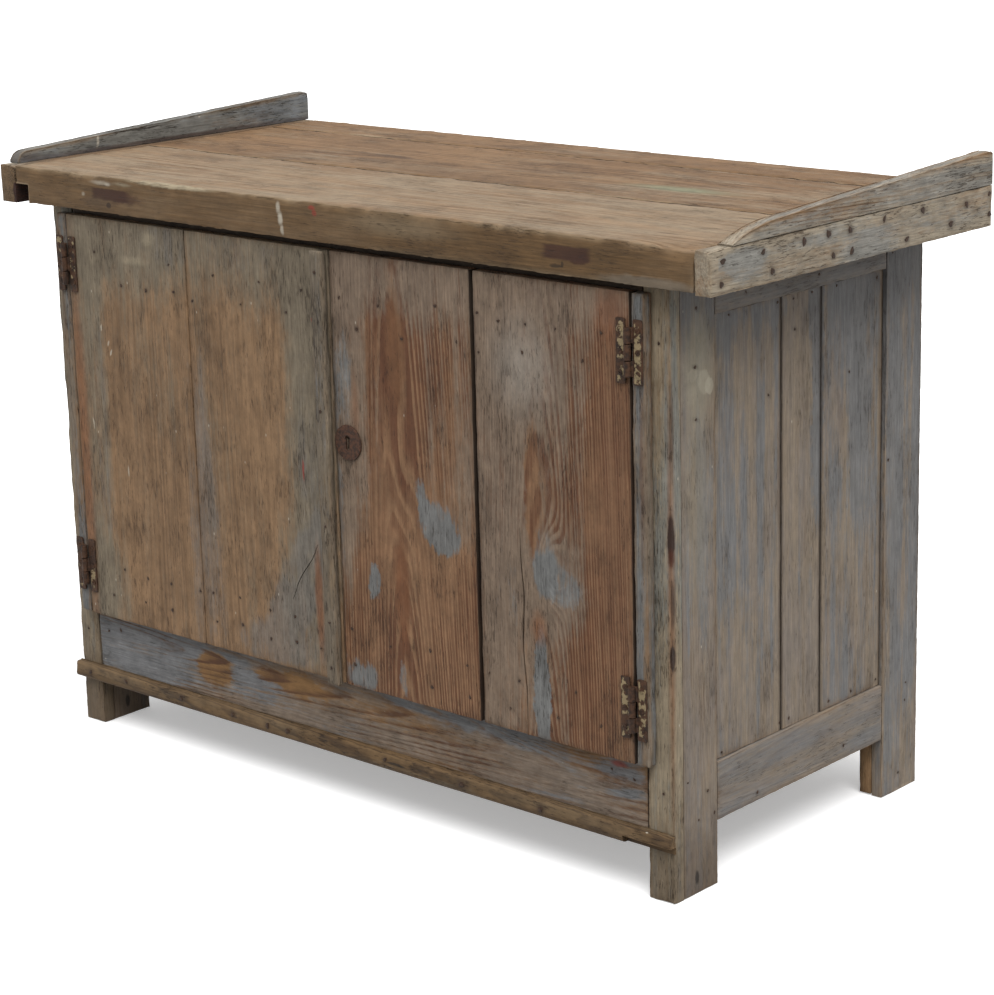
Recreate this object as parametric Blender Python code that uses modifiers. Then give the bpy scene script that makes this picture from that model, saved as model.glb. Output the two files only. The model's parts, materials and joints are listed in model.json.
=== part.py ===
"""Weathered two-door buffet cabinet: plank top with end caps and galleries, framed carcass, overlay doors.

Metres, +Z up, front towards -Y. The origin is the centre of the cabinet's box, on the floor.
"""

import math

import bmesh
import bpy
from mathutils import Matrix

# Carcass
BODY_WIDTH = 1.120
BODY_DEPTH = 0.535
BODY_HEIGHT = 0.777
STILE_WIDTH = 0.040
STILE_THICKNESS = 0.020
FRONT_POST_DEPTH = 0.068
REAR_STILE_WIDTH = 0.083
REAR_STILE_THICKNESS = 0.017
REAR_POST_WIDTH = 0.021
RAIL_THICKNESS = 0.022
FRONT_TOP_RAIL_HEIGHT = 0.048
FRONT_RAIL_BOTTOM = 0.068
FRONT_RAIL_HEIGHT = 0.122
SIDE_TOP_RAIL_HEIGHT = 0.049
SIDE_TOP_RAIL_THICKNESS = 0.020
SIDE_RAIL_BOTTOM = 0.084
SIDE_RAIL_HEIGHT = 0.078
SIDE_RAIL_THICKNESS = 0.035
SIDE_BOARD_THICKNESS = 0.015
SIDE_BOARD_RECESS = 0.005
SIDE_BOARD_MIDDLE_WIDTH = 0.085
SIDE_BOARD_REAR_WIDTH = 0.138
BACK_BOARD_THICKNESS = 0.015
BACK_BOARDS = 3
FLOOR_THICKNESS = 0.018
FLOOR_BOARDS = 2
SHELF_TOP = 0.485
SHELF_THICKNESS = 0.018
SHELF_BOARDS = 2
CLEAT_WIDTH = 0.019
CLEAT_HEIGHT = 0.030
MOULDING_HEIGHT = 0.025
MOULDING_PROJECTION = 0.013
MOULDING_OVERRUN = 0.005
MOULDING_ROUNDING = 0.006

# Top
TOP_THICKNESS = 0.053
OVERHANG_END = 0.082
OVERHANG_FRONT = 0.0264
OVERHANG_BACK = 0.037
TOP_FRONT_BOARD_WIDTH = 0.252
TOP_REAR_BOARD_WIDTH = 0.096
CAP_THICKNESS_LEFT = 0.034
CAP_THICKNESS_RIGHT = 0.0255
CAP_DROP = 0.003
NOTCH_WIDTH = 0.028
NOTCH_HEIGHT = 0.027
NOTCH_DEPTH = 0.060
GALLERY_THICKNESS = 0.022
GALLERY_SETBACK_LEFT = 0.018
GALLERY_SETBACK_RIGHT = 0.040
GALLERY_REAR_HEIGHT = 0.044
GALLERY_FRONT_HEIGHT = 0.014
GALLERY_NOSE_LEFT = 0.018
GALLERY_NOSE_RIGHT = 0.075
GALLERY_CORNER = 0.005

# Doors
DOOR_THICKNESS = 0.0165
DOOR_BOTTOM = 0.178
DOOR_TOP_GAP = 0.009
DOOR_MEETING_X = 0.0122
DOOR_GAP = 0.0016
STRIP_WIDTH = 0.021
STRIP_REVEAL = 0.024
LEFT_OUTER_BOARD_WIDTH = 0.248
RIGHT_OUTER_BOARD_WIDTH = 0.250
LEFT_BOARD_GAP = 0.0006
RIGHT_BOARD_GAP = 0.0045
COVER_WIDTH = 0.025
COVER_THICKNESS = 0.012
COVER_DROP = 0.004
COVER_EASE = 0.002
LEDGE_HEIGHT = 0.070
LEDGE_END_GAP = 0.018
LEDGE_BOTTOM_RISE = 0.027
LEDGE_TOP_DROP = 0.045

# Hinges
LEAF_HEIGHT = 0.080
LEAF_WIDTH = 0.0205
LEAF_THICKNESS = 0.0025
BARREL_RADIUS = 0.005
BARREL_HEIGHT = 0.060
KNUCKLE_HEIGHT = 0.020
PIN_RADIUS = 0.0025
HINGE_RISE = 0.074
HINGE_DROP = 0.0715
KNUCKLE_GAP = 0.0004
LEAF_CLEARANCE = 0.0006

# Lock and turn button
LOCK_RISE = 0.338
LOCK_INSET = 0.025
ESCUTCHEON_RADIUS = 0.024
ESCUTCHEON_THICKNESS = 0.003
ESCUTCHEON_EASE = 0.001
KEYHOLE_WIDTH = 0.006
KEYHOLE_HEIGHT = 0.019
KEYHOLE_RADIUS = 0.004
LOCK_CASE_WIDTH = 0.070
LOCK_CASE_HEIGHT = 0.082
LOCK_CASE_DEPTH = 0.016
LOCK_CASE_WALL = 0.0022
LOCK_CASE_SETBACK = 0.003
BOLT_LENGTH = 0.046
BOLT_HEIGHT = 0.016
BOLT_THICKNESS = 0.007
BOLT_RISE = 0.024
BUTTON_LENGTH = 0.090
BUTTON_WIDTH = 0.022
BUTTON_THICKNESS = 0.012
BUTTON_INSET = 0.075
BUTTON_DROP = 0.028

# Clearances and eased edges
FIT = 0.0003
BUTTON_FIT = 0.0006
CUT_MARGIN = 0.01
BOARD_EASE = 0.0015
IRON_EASE = 0.0006
ROUND_STEPS = 24
ARC_STEPS = 8

# Places worked out from the sizes, measured from the cabinet's middle
HALF = BODY_WIDTH / 2
FRONT_REACH = max(OVERHANG_FRONT, DOOR_THICKNESS + max(COVER_THICKNESS, FIT + 2 * BARREL_RADIUS))
TOTAL_DEPTH = FRONT_REACH + BODY_DEPTH + OVERHANG_BACK
FRONT = FRONT_REACH - TOTAL_DEPTH / 2
BACK = FRONT + BODY_DEPTH
DOOR_FACE = FRONT - DOOR_THICKNESS
DOOR_REAR = FRONT - FIT
INNER = HALF - STILE_WIDTH
POST_REAR = FRONT + STILE_THICKNESS + FIT + FRONT_POST_DEPTH
REAR_LEG_FRONT = BACK - REAR_STILE_WIDTH
BACK_BOARD_FRONT = BACK - BACK_BOARD_THICKNESS
SIDE_INNER = HALF - SIDE_BOARD_RECESS - SIDE_BOARD_THICKNESS
SIDE_RAIL_TOP = SIDE_RAIL_BOTTOM + SIDE_RAIL_HEIGHT
FRONT_RAIL_TOP = FRONT_RAIL_BOTTOM + FRONT_RAIL_HEIGHT
RAIL_REAR = FRONT + RAIL_THICKNESS
CARCASS_TOP = BODY_HEIGHT - FIT
TOP_SURFACE = BODY_HEIGHT + TOP_THICKNESS
TOP_END = HALF + OVERHANG_END
TOP_FRONT = FRONT - OVERHANG_FRONT
TOP_BACK = BACK + OVERHANG_BACK
DOOR_TOP = BODY_HEIGHT - DOOR_TOP_GAP
STRIP_OUTER = HALF - STRIP_REVEAL
STRIP_INNER = STRIP_OUTER - STRIP_WIDTH
HINGE_X = STRIP_INNER - DOOR_GAP / 2
HINGE_Y = DOOR_FACE - FIT - BARREL_RADIUS
LEFT_DOOR_X = (DOOR_GAP - STRIP_INNER, DOOR_MEETING_X - DOOR_GAP / 2)
RIGHT_DOOR_X = (DOOR_MEETING_X + DOOR_GAP / 2, STRIP_INNER - DOOR_GAP)
LEDGE_LOW = DOOR_BOTTOM + LEDGE_BOTTOM_RISE
LEDGE_HIGH = DOOR_TOP - LEDGE_TOP_DROP
KEYHOLE_X = RIGHT_DOOR_X[0] + LOCK_INSET
KEYHOLE_Z = DOOR_BOTTOM + LOCK_RISE
LOCK_CASE_X = RIGHT_DOOR_X[0] + LOCK_CASE_SETBACK
BUTTON_X = LEFT_DOOR_X[1] - BUTTON_INSET
BUTTON_Z = LEDGE_HIGH - BUTTON_DROP
BUTTON_FRONT = FRONT + RAIL_THICKNESS + BUTTON_FIT


def clear_scene():
    """Remove every object that the start-up file holds."""
    for old in list(bpy.data.objects):
        bpy.data.objects.remove(old, do_unlink=True)


def new_collection(name):
    """Return a new collection linked to the scene."""
    made = bpy.data.collections.new(name)
    bpy.context.scene.collection.children.link(made)
    return made


def new_finish(name, colour, roughness, metallic=0.0):
    """Return a plain surface finish."""
    made = bpy.data.materials.new(name)
    made.use_nodes = True
    shader = made.node_tree.nodes["Principled BSDF"]
    shader.inputs["Base Color"].default_value = (*colour, 1.0)
    shader.inputs["Roughness"].default_value = roughness
    shader.inputs["Metallic"].default_value = metallic
    return made


def new_pivot(name, place):
    """Return an empty that carries the pieces of one moving body."""
    made = bpy.data.objects.new(name, None)
    made.location = place
    parts.objects.link(made)
    return made


def carried(obj, name, pivot, finish):
    """Name a finished piece, dress it and hang it on its body's empty."""
    obj.name = name
    obj.data.name = name
    obj.data.materials.clear()
    obj.data.materials.append(finish)
    for home in list(obj.users_collection):
        home.objects.unlink(obj)
    parts.objects.link(obj)
    obj.parent = pivot
    obj.matrix_parent_inverse = Matrix.Translation(pivot.location).inverted()
    return obj


def cutter(obj, name):
    """Put a cutting shape away, out of the render."""
    obj.name = name
    for home in list(obj.users_collection):
        home.objects.unlink(obj)
    cutters.objects.link(obj)
    obj.hide_render = True
    obj.display_type = "WIRE"
    return obj


def box(x, y, z):
    """Return a cube stretched between the given (low, high) pairs, with its scale applied."""
    centre = [(low + high) / 2 for low, high in (x, y, z)]
    size = [high - low for low, high in (x, y, z)]
    bpy.ops.mesh.primitive_cube_add(size=1, location=centre)
    made = bpy.context.object
    made.scale = size
    bpy.ops.object.transform_apply(location=False, rotation=False, scale=True)
    return made


def rod(radius, length, place, turn=(0.0, 0.0, 0.0)):
    """Return a cylinder about its own Z axis, turned and placed."""
    bpy.ops.mesh.primitive_cylinder_add(
        vertices=ROUND_STEPS, radius=radius, depth=length, location=place, rotation=turn
    )
    made = bpy.context.object
    made.data.shade_smooth()
    made.data.set_sharp_from_angle(angle=math.radians(40))
    return made


def ease(obj, width, segments=1):
    """Ease the arrises, never by more than a quarter of the thinnest side."""
    bevel = obj.modifiers.new("eased_edges", "BEVEL")
    bevel.width = min(width, min(obj.dimensions) / 4)
    bevel.segments = segments
    return obj


def cut(obj, tool, operation="DIFFERENCE"):
    """Cut obj by the tool, or join the tool to it."""
    boolean = obj.modifiers.new(operation.lower(), "BOOLEAN")
    boolean.operation = operation
    boolean.solver = "EXACT"
    boolean.object = tool
    return obj


def plank(name, pivot, finish, x, y, z, width=BOARD_EASE):
    """Return a squared board, or iron block, with eased arrises."""
    return carried(ease(box(x, y, z), width), name, pivot, finish)


def flat_outline(points, thickness):
    """Return a mesh made from a closed 2D outline, thickness deep along its own Z and centred on it."""
    data = bpy.data.curves.new("outline", "CURVE")
    data.dimensions = "2D"
    data.fill_mode = "BOTH"
    data.extrude = thickness / 2
    spline = data.splines.new("POLY")
    spline.points.add(len(points) - 1)
    for point, (u, v) in zip(spline.points, points):
        point.co = (u, v, 0.0, 1.0)
    spline.use_cyclic_u = True
    curve = bpy.data.objects.new("outline", data)
    cutters.objects.link(curve)
    made = bpy.data.objects.new("outline_mesh", as_mesh(curve))
    cutters.objects.link(made)
    bpy.data.objects.remove(curve, do_unlink=True)
    return made


def as_mesh(obj):
    """Return the evaluated mesh of obj, with loose caps and doubles welded."""
    bpy.context.view_layer.update()
    graph = bpy.context.evaluated_depsgraph_get()
    mesh = bpy.data.meshes.new_from_object(obj.evaluated_get(graph))
    work = bmesh.new()
    work.from_mesh(mesh)
    bmesh.ops.remove_doubles(work, verts=work.verts, dist=1e-6)
    bmesh.ops.recalc_face_normals(work, faces=work.faces)
    work.to_mesh(mesh)
    work.free()
    return mesh


def arc(centre, radii, start, end, steps=ARC_STEPS):
    """Return points of an elliptical arc, angles in degrees."""
    points = []
    for step in range(steps + 1):
        angle = math.radians(start + (end - start) * step / steps)
        points.append((centre[0] + radii[0] * math.cos(angle), centre[1] + radii[1] * math.sin(angle)))
    return points


def mirrored(pair, side):
    """Return a (low, high) pair on the left (-1) or right (+1) side of the cabinet."""
    return tuple(sorted(side * value for value in pair))


def build_top():
    """Three planks, a cap nailed over each end, and a tapered gallery on each cap."""
    left_end = -TOP_END + CAP_THICKNESS_LEFT + FIT
    right_end = TOP_END - CAP_THICKNESS_RIGHT - FIT
    depth_rest = TOP_BACK - TOP_FRONT - TOP_FRONT_BOARD_WIDTH - TOP_REAR_BOARD_WIDTH
    widths = {"front": TOP_FRONT_BOARD_WIDTH, "middle": depth_rest, "rear": TOP_REAR_BOARD_WIDTH}
    near = TOP_FRONT
    for place, width in widths.items():
        far = near + width - (FIT if place != "rear" else 0.0)
        made = plank(
            f"top_board_{place}",
            carcass,
            worn_top,
            (left_end, right_end),
            (near, far),
            (BODY_HEIGHT, TOP_SURFACE),
        )
        if place == "front":
            notch = box(
                (left_end - CUT_MARGIN, left_end + NOTCH_WIDTH),
                (TOP_FRONT - CUT_MARGIN, TOP_FRONT + NOTCH_DEPTH),
                (BODY_HEIGHT - CUT_MARGIN, BODY_HEIGHT + NOTCH_HEIGHT),
            )
            cut(made, cutter(notch, "notch_cutter"))
        near += width
    for name, side, thickness in (("left", -1, CAP_THICKNESS_LEFT), ("right", 1, CAP_THICKNESS_RIGHT)):
        plank(
            f"end_cap_{name}",
            carcass,
            worn_top,
            mirrored((TOP_END - thickness, TOP_END), side),
            (TOP_FRONT, TOP_BACK),
            (BODY_HEIGHT - CAP_DROP, TOP_SURFACE),
        )
    build_gallery("left", -1, GALLERY_SETBACK_LEFT, GALLERY_NOSE_LEFT)
    build_gallery("right", 1, GALLERY_SETBACK_RIGHT, GALLERY_NOSE_RIGHT)


def build_gallery(name, side, setback, nose):
    """A thin board on edge, rising to the back, with a rounded nose of the given length at the front."""
    front = TOP_FRONT + setback
    run = TOP_BACK - front
    slope = (GALLERY_REAR_HEIGHT - GALLERY_FRONT_HEIGHT) / run
    nose_height = GALLERY_FRONT_HEIGHT + slope * nose
    corner = (run - GALLERY_CORNER, GALLERY_REAR_HEIGHT - GALLERY_CORNER)
    outline = [(0.0, 0.0), (run, 0.0)]
    outline += arc(corner, (GALLERY_CORNER, GALLERY_CORNER), 0, 90)
    outline += arc((nose, 0.0), (nose, nose_height), 90, 180)[:-1]
    made = flat_outline(outline, GALLERY_THICKNESS)
    made.rotation_euler = (math.radians(90), 0.0, math.radians(90))
    made.location = (side * (TOP_END - GALLERY_THICKNESS / 2), front, TOP_SURFACE + FIT)
    carried(made, f"gallery_{name}", carcass, blue_paint)


def build_legs():
    """Built-up corner legs: stile and post at the front, side stile and inner post at the rear."""
    for name, side in (("left", -1), ("right", 1)):
        plank(
            f"front_stile_{name}",
            carcass,
            blue_paint,
            mirrored((INNER, HALF), side),
            (FRONT, FRONT + STILE_THICKNESS),
            (0.0, CARCASS_TOP),
        )
        plank(
            f"front_post_{name}",
            carcass,
            blue_paint,
            mirrored((INNER, HALF), side),
            (FRONT + STILE_THICKNESS + FIT, POST_REAR),
            (0.0, CARCASS_TOP),
        )
        plank(
            f"rear_side_stile_{name}",
            carcass,
            blue_paint,
            mirrored((HALF - REAR_STILE_THICKNESS, HALF), side),
            (REAR_LEG_FRONT, BACK),
            (0.0, CARCASS_TOP),
        )
        rear_outer = HALF - REAR_STILE_THICKNESS - FIT
        plank(
            f"rear_post_{name}",
            carcass,
            bare_pine,
            mirrored((rear_outer - REAR_POST_WIDTH, rear_outer), side),
            (REAR_LEG_FRONT, BACK_BOARD_FRONT - FIT),
            (0.0, CARCASS_TOP),
        )


def build_sides():
    """Rails and three upright boards between the legs at each end."""
    span = (POST_REAR + FIT, REAR_LEG_FRONT - FIT)
    rest = span[1] - span[0] - SIDE_BOARD_MIDDLE_WIDTH - SIDE_BOARD_REAR_WIDTH
    for name, side in (("left", -1), ("right", 1)):
        plank(
            f"side_top_rail_{name}",
            carcass,
            blue_paint,
            mirrored((HALF - SIDE_TOP_RAIL_THICKNESS, HALF), side),
            span,
            (BODY_HEIGHT - SIDE_TOP_RAIL_HEIGHT, CARCASS_TOP),
        )
        plank(
            f"side_bottom_rail_{name}",
            carcass,
            blue_paint,
            mirrored((HALF - SIDE_RAIL_THICKNESS, HALF), side),
            span,
            (SIDE_RAIL_BOTTOM, SIDE_RAIL_TOP),
        )
        near = span[0]
        for count, width in enumerate((rest, SIDE_BOARD_MIDDLE_WIDTH, SIDE_BOARD_REAR_WIDTH), start=1):
            plank(
                f"side_board_{name}_{count}",
                carcass,
                blue_paint,
                mirrored((SIDE_INNER, SIDE_INNER + SIDE_BOARD_THICKNESS), side),
                (near, near + width - FIT),
                (SIDE_RAIL_TOP + FIT, BODY_HEIGHT - SIDE_TOP_RAIL_HEIGHT - FIT),
            )
            near += width
        plank(
            f"shelf_cleat_{name}",
            carcass,
            bare_pine,
            mirrored((SIDE_INNER - FIT - CLEAT_WIDTH, SIDE_INNER - FIT), side),
            span,
            (SHELF_TOP - SHELF_THICKNESS - FIT - CLEAT_HEIGHT, SHELF_TOP - SHELF_THICKNESS - FIT),
        )


def build_front_frame():
    """Rails between the front stiles, the hinge strips on the stiles and the nosing at the base."""
    rail_x = (-INNER + FIT, INNER - FIT)
    rail_y = (FRONT, RAIL_REAR)
    top_z = (BODY_HEIGHT - FRONT_TOP_RAIL_HEIGHT, CARCASS_TOP)
    bottom_z = (FRONT_RAIL_BOTTOM, FRONT_RAIL_TOP)
    plank("front_top_rail", carcass, blue_paint, rail_x, rail_y, top_z)
    plank("front_bottom_rail", carcass, blue_paint, rail_x, rail_y, bottom_z)
    for name, side in (("left", -1), ("right", 1)):
        plank(
            f"hinge_strip_{name}",
            carcass,
            blue_paint,
            mirrored((STRIP_INNER, STRIP_OUTER), side),
            (DOOR_FACE, DOOR_REAR),
            (DOOR_BOTTOM, DOOR_TOP),
        )
    rounding = min(MOULDING_ROUNDING, MOULDING_PROJECTION, 0.45 * MOULDING_HEIGHT)
    upper = (rounding - MOULDING_PROJECTION, MOULDING_HEIGHT - rounding)
    outline = [(0.0, 0.0), (0.0, MOULDING_HEIGHT)]
    outline += arc(upper, (rounding, rounding), 90, 180)
    outline += arc((upper[0], rounding), (rounding, rounding), 180, 270)
    made = flat_outline(outline, BODY_WIDTH + 2 * MOULDING_OVERRUN)
    made.rotation_euler = (math.radians(90), 0.0, math.radians(90))
    made.location = (0.0, FRONT - FIT, FRONT_RAIL_BOTTOM)
    carried(made, "base_moulding", carcass, worn_top)


def build_inside():
    """Back boards, floor boards notched round the legs, and the shelf."""
    back_x = HALF - REAR_STILE_THICKNESS - FIT
    height = (CARCASS_TOP - SIDE_RAIL_BOTTOM) / BACK_BOARDS
    for count in range(BACK_BOARDS):
        low = SIDE_RAIL_BOTTOM + count * height
        plank(
            f"back_board_{count + 1}",
            carcass,
            bare_pine,
            (-back_x, back_x),
            (BACK_BOARD_FRONT, BACK),
            (low, low + height - FIT),
        )
    side = SIDE_INNER - FIT
    near = RAIL_REAR + FIT
    width = (BACK_BOARD_FRONT - FIT - near) / FLOOR_BOARDS
    low = SIDE_RAIL_TOP + FIT
    for count in range(FLOOR_BOARDS):
        made = plank(
            f"floor_board_{count + 1}",
            carcass,
            bare_pine,
            (-side, side),
            (near, near + width - FIT),
            (low, low + FLOOR_THICKNESS),
        )
        for leg in leg_cutters:
            cut(made, leg)
        near += width
    near = POST_REAR + FIT
    width = (REAR_LEG_FRONT - FIT - near) / SHELF_BOARDS
    for count in range(SHELF_BOARDS):
        plank(
            f"shelf_board_{count + 1}",
            carcass,
            bare_pine,
            (-side, side),
            (near, near + width - FIT),
            (SHELF_TOP - SHELF_THICKNESS, SHELF_TOP),
        )
        near += width


def build_leg_cutters():
    """Return blocks a fit larger than the legs, to notch the floor boards."""
    made = []
    reach = HALF + CUT_MARGIN
    rear_inner = HALF - REAR_STILE_THICKNESS - FIT - REAR_POST_WIDTH
    height = (SIDE_RAIL_TOP - CUT_MARGIN, SIDE_RAIL_TOP + FLOOR_THICKNESS + CUT_MARGIN)
    for side in (-1, 1):
        front_y = (FRONT - CUT_MARGIN, POST_REAR + FIT)
        rear_y = (REAR_LEG_FRONT - FIT, BACK + CUT_MARGIN)
        for inner, depth in ((INNER - FIT, front_y), (rear_inner - FIT, rear_y)):
            made.append(cutter(box(mirrored((inner, reach), side), depth, height), "leg_cutter"))
    return made


def build_door(name, pivot, x, hinge_side, outer_width, board_gap):
    """Two boards on two inner ledges. hinge_side is -1 where the hinges are on the left."""
    if hinge_side < 0:
        split = x[0] + outer_width
        outer_x, inner_x = (x[0], split), (split + board_gap, x[1])
    else:
        split = x[1] - outer_width
        outer_x, inner_x = (split, x[1]), (x[0], split - board_gap)
    height = (DOOR_BOTTOM, DOOR_TOP)
    thick = (DOOR_FACE, DOOR_REAR)
    plank(f"{name}_board_outer", pivot, worn_door, outer_x, thick, height)
    inner = plank(f"{name}_board_inner", pivot, worn_door, inner_x, thick, height)
    hinge_end = hinge_side * (INNER - LEDGE_END_GAP)
    meeting_end = x[1] - LEDGE_END_GAP if hinge_side < 0 else x[0] + LEDGE_END_GAP
    ledge_x = tuple(sorted((hinge_end, meeting_end)))
    ledge_y = (FRONT, FRONT + RAIL_THICKNESS)
    plank(f"{name}_ledge_bottom", pivot, bare_pine, ledge_x, ledge_y, (LEDGE_LOW, LEDGE_LOW + LEDGE_HEIGHT))
    plank(f"{name}_ledge_top", pivot, bare_pine, ledge_x, ledge_y, (LEDGE_HIGH - LEDGE_HEIGHT, LEDGE_HIGH))
    return inner


def build_doors():
    """Both doors, and the cover strip along the left door's meeting edge."""
    build_door("left_door", left_pivot, LEFT_DOOR_X, -1, LEFT_OUTER_BOARD_WIDTH, LEFT_BOARD_GAP)
    lock_board = build_door(
        "right_door", right_pivot, RIGHT_DOOR_X, 1, RIGHT_OUTER_BOARD_WIDTH, RIGHT_BOARD_GAP
    )
    plank(
        "cover_strip",
        left_pivot,
        worn_door,
        (LEFT_DOOR_X[1] - COVER_WIDTH, LEFT_DOOR_X[1]),
        (DOOR_FACE - COVER_THICKNESS, DOOR_FACE - FIT),
        (DOOR_BOTTOM - COVER_DROP, DOOR_TOP),
        COVER_EASE,
    )
    return lock_board


def leaf_plate(direction):
    """Return a hinge plate with round ends, standing off the barrel, on the +X or -X side of the pin."""
    near = BARREL_RADIUS + LEAF_CLEARANCE
    radius = (LEAF_WIDTH - near) / 2
    middle = direction * (near + radius)
    rise = LEAF_HEIGHT / 2 - radius
    outline = arc((middle, rise), (radius, radius), 0, 180)
    outline += arc((middle, -rise), (radius, radius), 180, 360)
    plate = flat_outline(outline, LEAF_THICKNESS)
    plate.rotation_euler = (math.radians(90), 0.0, 0.0)
    plate.location = (0.0, BARREL_RADIUS - LEAF_THICKNESS / 2, 0.0)
    return plate


def knuckle(plate, direction, low, high):
    """Join one barrel knuckle, and the tab that carries it, to a hinge plate."""
    tab = box(
        tuple(sorted((0.0, direction * (BARREL_RADIUS + LEAF_THICKNESS)))),
        (BARREL_RADIUS - LEAF_THICKNESS, BARREL_RADIUS),
        (low, high),
    )
    barrel = rod(BARREL_RADIUS, high - low, (0.0, 0.0, (low + high) / 2))
    cut(plate, cutter(tab, "knuckle_tab"), "UNION")
    cut(plate, cutter(barrel, "knuckle_barrel"), "UNION")


def build_hinges():
    """Four surface hinges. The frame leaf carries the pin, the door leaf's knuckle turns on it."""
    half_knuckle = KNUCKLE_HEIGHT / 2
    half_barrel = BARREL_HEIGHT / 2
    frame_leaf = leaf_plate(1)
    knuckle(frame_leaf, 1, half_knuckle + KNUCKLE_GAP, half_barrel)
    knuckle(frame_leaf, 1, -half_barrel, -half_knuckle - KNUCKLE_GAP)
    pin = rod(PIN_RADIUS, BARREL_HEIGHT - LEAF_THICKNESS, (0.0, 0.0, 0.0))
    cut(frame_leaf, cutter(pin, "hinge_pin"), "UNION")
    door_leaf = leaf_plate(-1)
    knuckle(door_leaf, -1, -half_knuckle, half_knuckle)
    bore = rod(PIN_RADIUS + FIT, BARREL_HEIGHT, (0.0, 0.0, 0.0))
    cut(door_leaf, cutter(bore, "pin_bore"))
    frame_mesh, door_mesh = as_mesh(frame_leaf), as_mesh(door_leaf)
    for pattern, mesh in ((frame_leaf, frame_mesh), (door_leaf, door_mesh)):
        mesh.transform(pattern.matrix_world)
        bpy.data.objects.remove(pattern, do_unlink=True)
    heights = {"upper": DOOR_TOP - HINGE_DROP, "lower": DOOR_BOTTOM + HINGE_RISE}
    for name, side, pivot in (("left", -1, left_pivot), ("right", 1, right_pivot)):
        for level, height in heights.items():
            for kind, mesh, body in (("frame", frame_mesh, carcass), ("door", door_mesh, pivot)):
                made = bpy.data.objects.new("hinge", mesh.copy())
                cutters.objects.link(made)
                made.location = (side * HINGE_X, HINGE_Y, height)
                made.rotation_euler = (0.0, 0.0 if side > 0 else math.pi, 0.0)
                carried(made, f"hinge_{name}_{level}_{kind}_leaf", body, rusty_iron)


def build_lock(door_board):
    """Escutcheon, keyhole through the door, and a box lock with a sliding bolt behind it."""
    facing = (math.radians(90), 0.0, 0.0)
    key_y = (DOOR_FACE - CUT_MARGIN, FRONT + 2 * LOCK_CASE_WALL)
    key_low = KEYHOLE_Z - KEYHOLE_HEIGHT / 2
    round_z = KEYHOLE_Z + KEYHOLE_HEIGHT / 2 - KEYHOLE_RADIUS
    tube = rod(KEYHOLE_RADIUS, key_y[1] - key_y[0], (KEYHOLE_X, sum(key_y) / 2, round_z), facing)
    slit = box((KEYHOLE_X - KEYHOLE_WIDTH / 2, KEYHOLE_X + KEYHOLE_WIDTH / 2), key_y, (key_low, round_z))
    key_round = cutter(tube, "keyhole_round_cutter")
    key_slot = cutter(slit, "keyhole_slot_cutter")
    plate_y = DOOR_FACE - FIT - ESCUTCHEON_THICKNESS / 2
    plate = rod(ESCUTCHEON_RADIUS, ESCUTCHEON_THICKNESS, (KEYHOLE_X, plate_y, KEYHOLE_Z), facing)
    ease(plate, ESCUTCHEON_EASE, 2)
    carried(plate, "escutcheon", right_pivot, rusty_iron)

    case_x = (LOCK_CASE_X, LOCK_CASE_X + LOCK_CASE_WIDTH)
    case_y = (FRONT, FRONT + LOCK_CASE_DEPTH)
    case_z = (KEYHOLE_Z - LOCK_CASE_HEIGHT / 2, KEYHOLE_Z + LOCK_CASE_HEIGHT / 2)
    case = plank("lock_case", right_pivot, rusty_iron, case_x, case_y, case_z, IRON_EASE)
    hollow = [(low + LOCK_CASE_WALL, high - LOCK_CASE_WALL) for low, high in (case_x, case_y, case_z)]
    cut(case, cutter(box(*hollow), "lock_hollow_cutter"))

    bolt_y = FRONT + LOCK_CASE_DEPTH / 2
    bolt_z = KEYHOLE_Z + BOLT_RISE
    bolt_x = (LOCK_CASE_X, LOCK_CASE_X + BOLT_LENGTH)
    thick = (bolt_y - BOLT_THICKNESS / 2, bolt_y + BOLT_THICKNESS / 2)
    tall = (bolt_z - BOLT_HEIGHT / 2, bolt_z + BOLT_HEIGHT / 2)
    plank("lock_bolt", bolt_pivot, rusty_iron, bolt_x, thick, tall, IRON_EASE)
    slot_x = (LOCK_CASE_X - CUT_MARGIN, LOCK_CASE_X + 2 * LOCK_CASE_WALL)
    slot = box(slot_x, (thick[0] - FIT, thick[1] + FIT), (tall[0] - FIT, tall[1] + FIT))
    cut(case, cutter(slot, "bolt_slot_cutter"))
    for piece in (plate, door_board, case):
        cut(piece, key_round)
        cut(piece, key_slot)


def build_button():
    """Wooden turn button on the left door's upper ledge, which swings up behind the front top rail."""
    radius = BUTTON_WIDTH / 2
    reach = BUTTON_LENGTH / 2 - radius
    outline = arc((reach, 0.0), (radius, radius), -90, 90)
    outline += arc((-reach, 0.0), (radius, radius), 90, 270)
    made = flat_outline(outline, BUTTON_THICKNESS)
    made.rotation_euler = (math.radians(90), 0.0, 0.0)
    made.location = (BUTTON_X, BUTTON_FRONT + BUTTON_THICKNESS / 2, BUTTON_Z)
    carried(made, "turn_button", button_pivot, bare_pine)


clear_scene()
parts = new_collection("buffet_cabinet")
cutters = new_collection("cutters")

worn_top = new_finish("worn_top", (0.27, 0.20, 0.13), 0.75)
blue_paint = new_finish("blue_grey_paint", (0.24, 0.26, 0.26), 0.70)
worn_door = new_finish("worn_door", (0.28, 0.20, 0.14), 0.72)
bare_pine = new_finish("bare_pine", (0.36, 0.25, 0.15), 0.80)
rusty_iron = new_finish("rusty_iron", (0.10, 0.06, 0.04), 0.65, 0.6)

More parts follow.
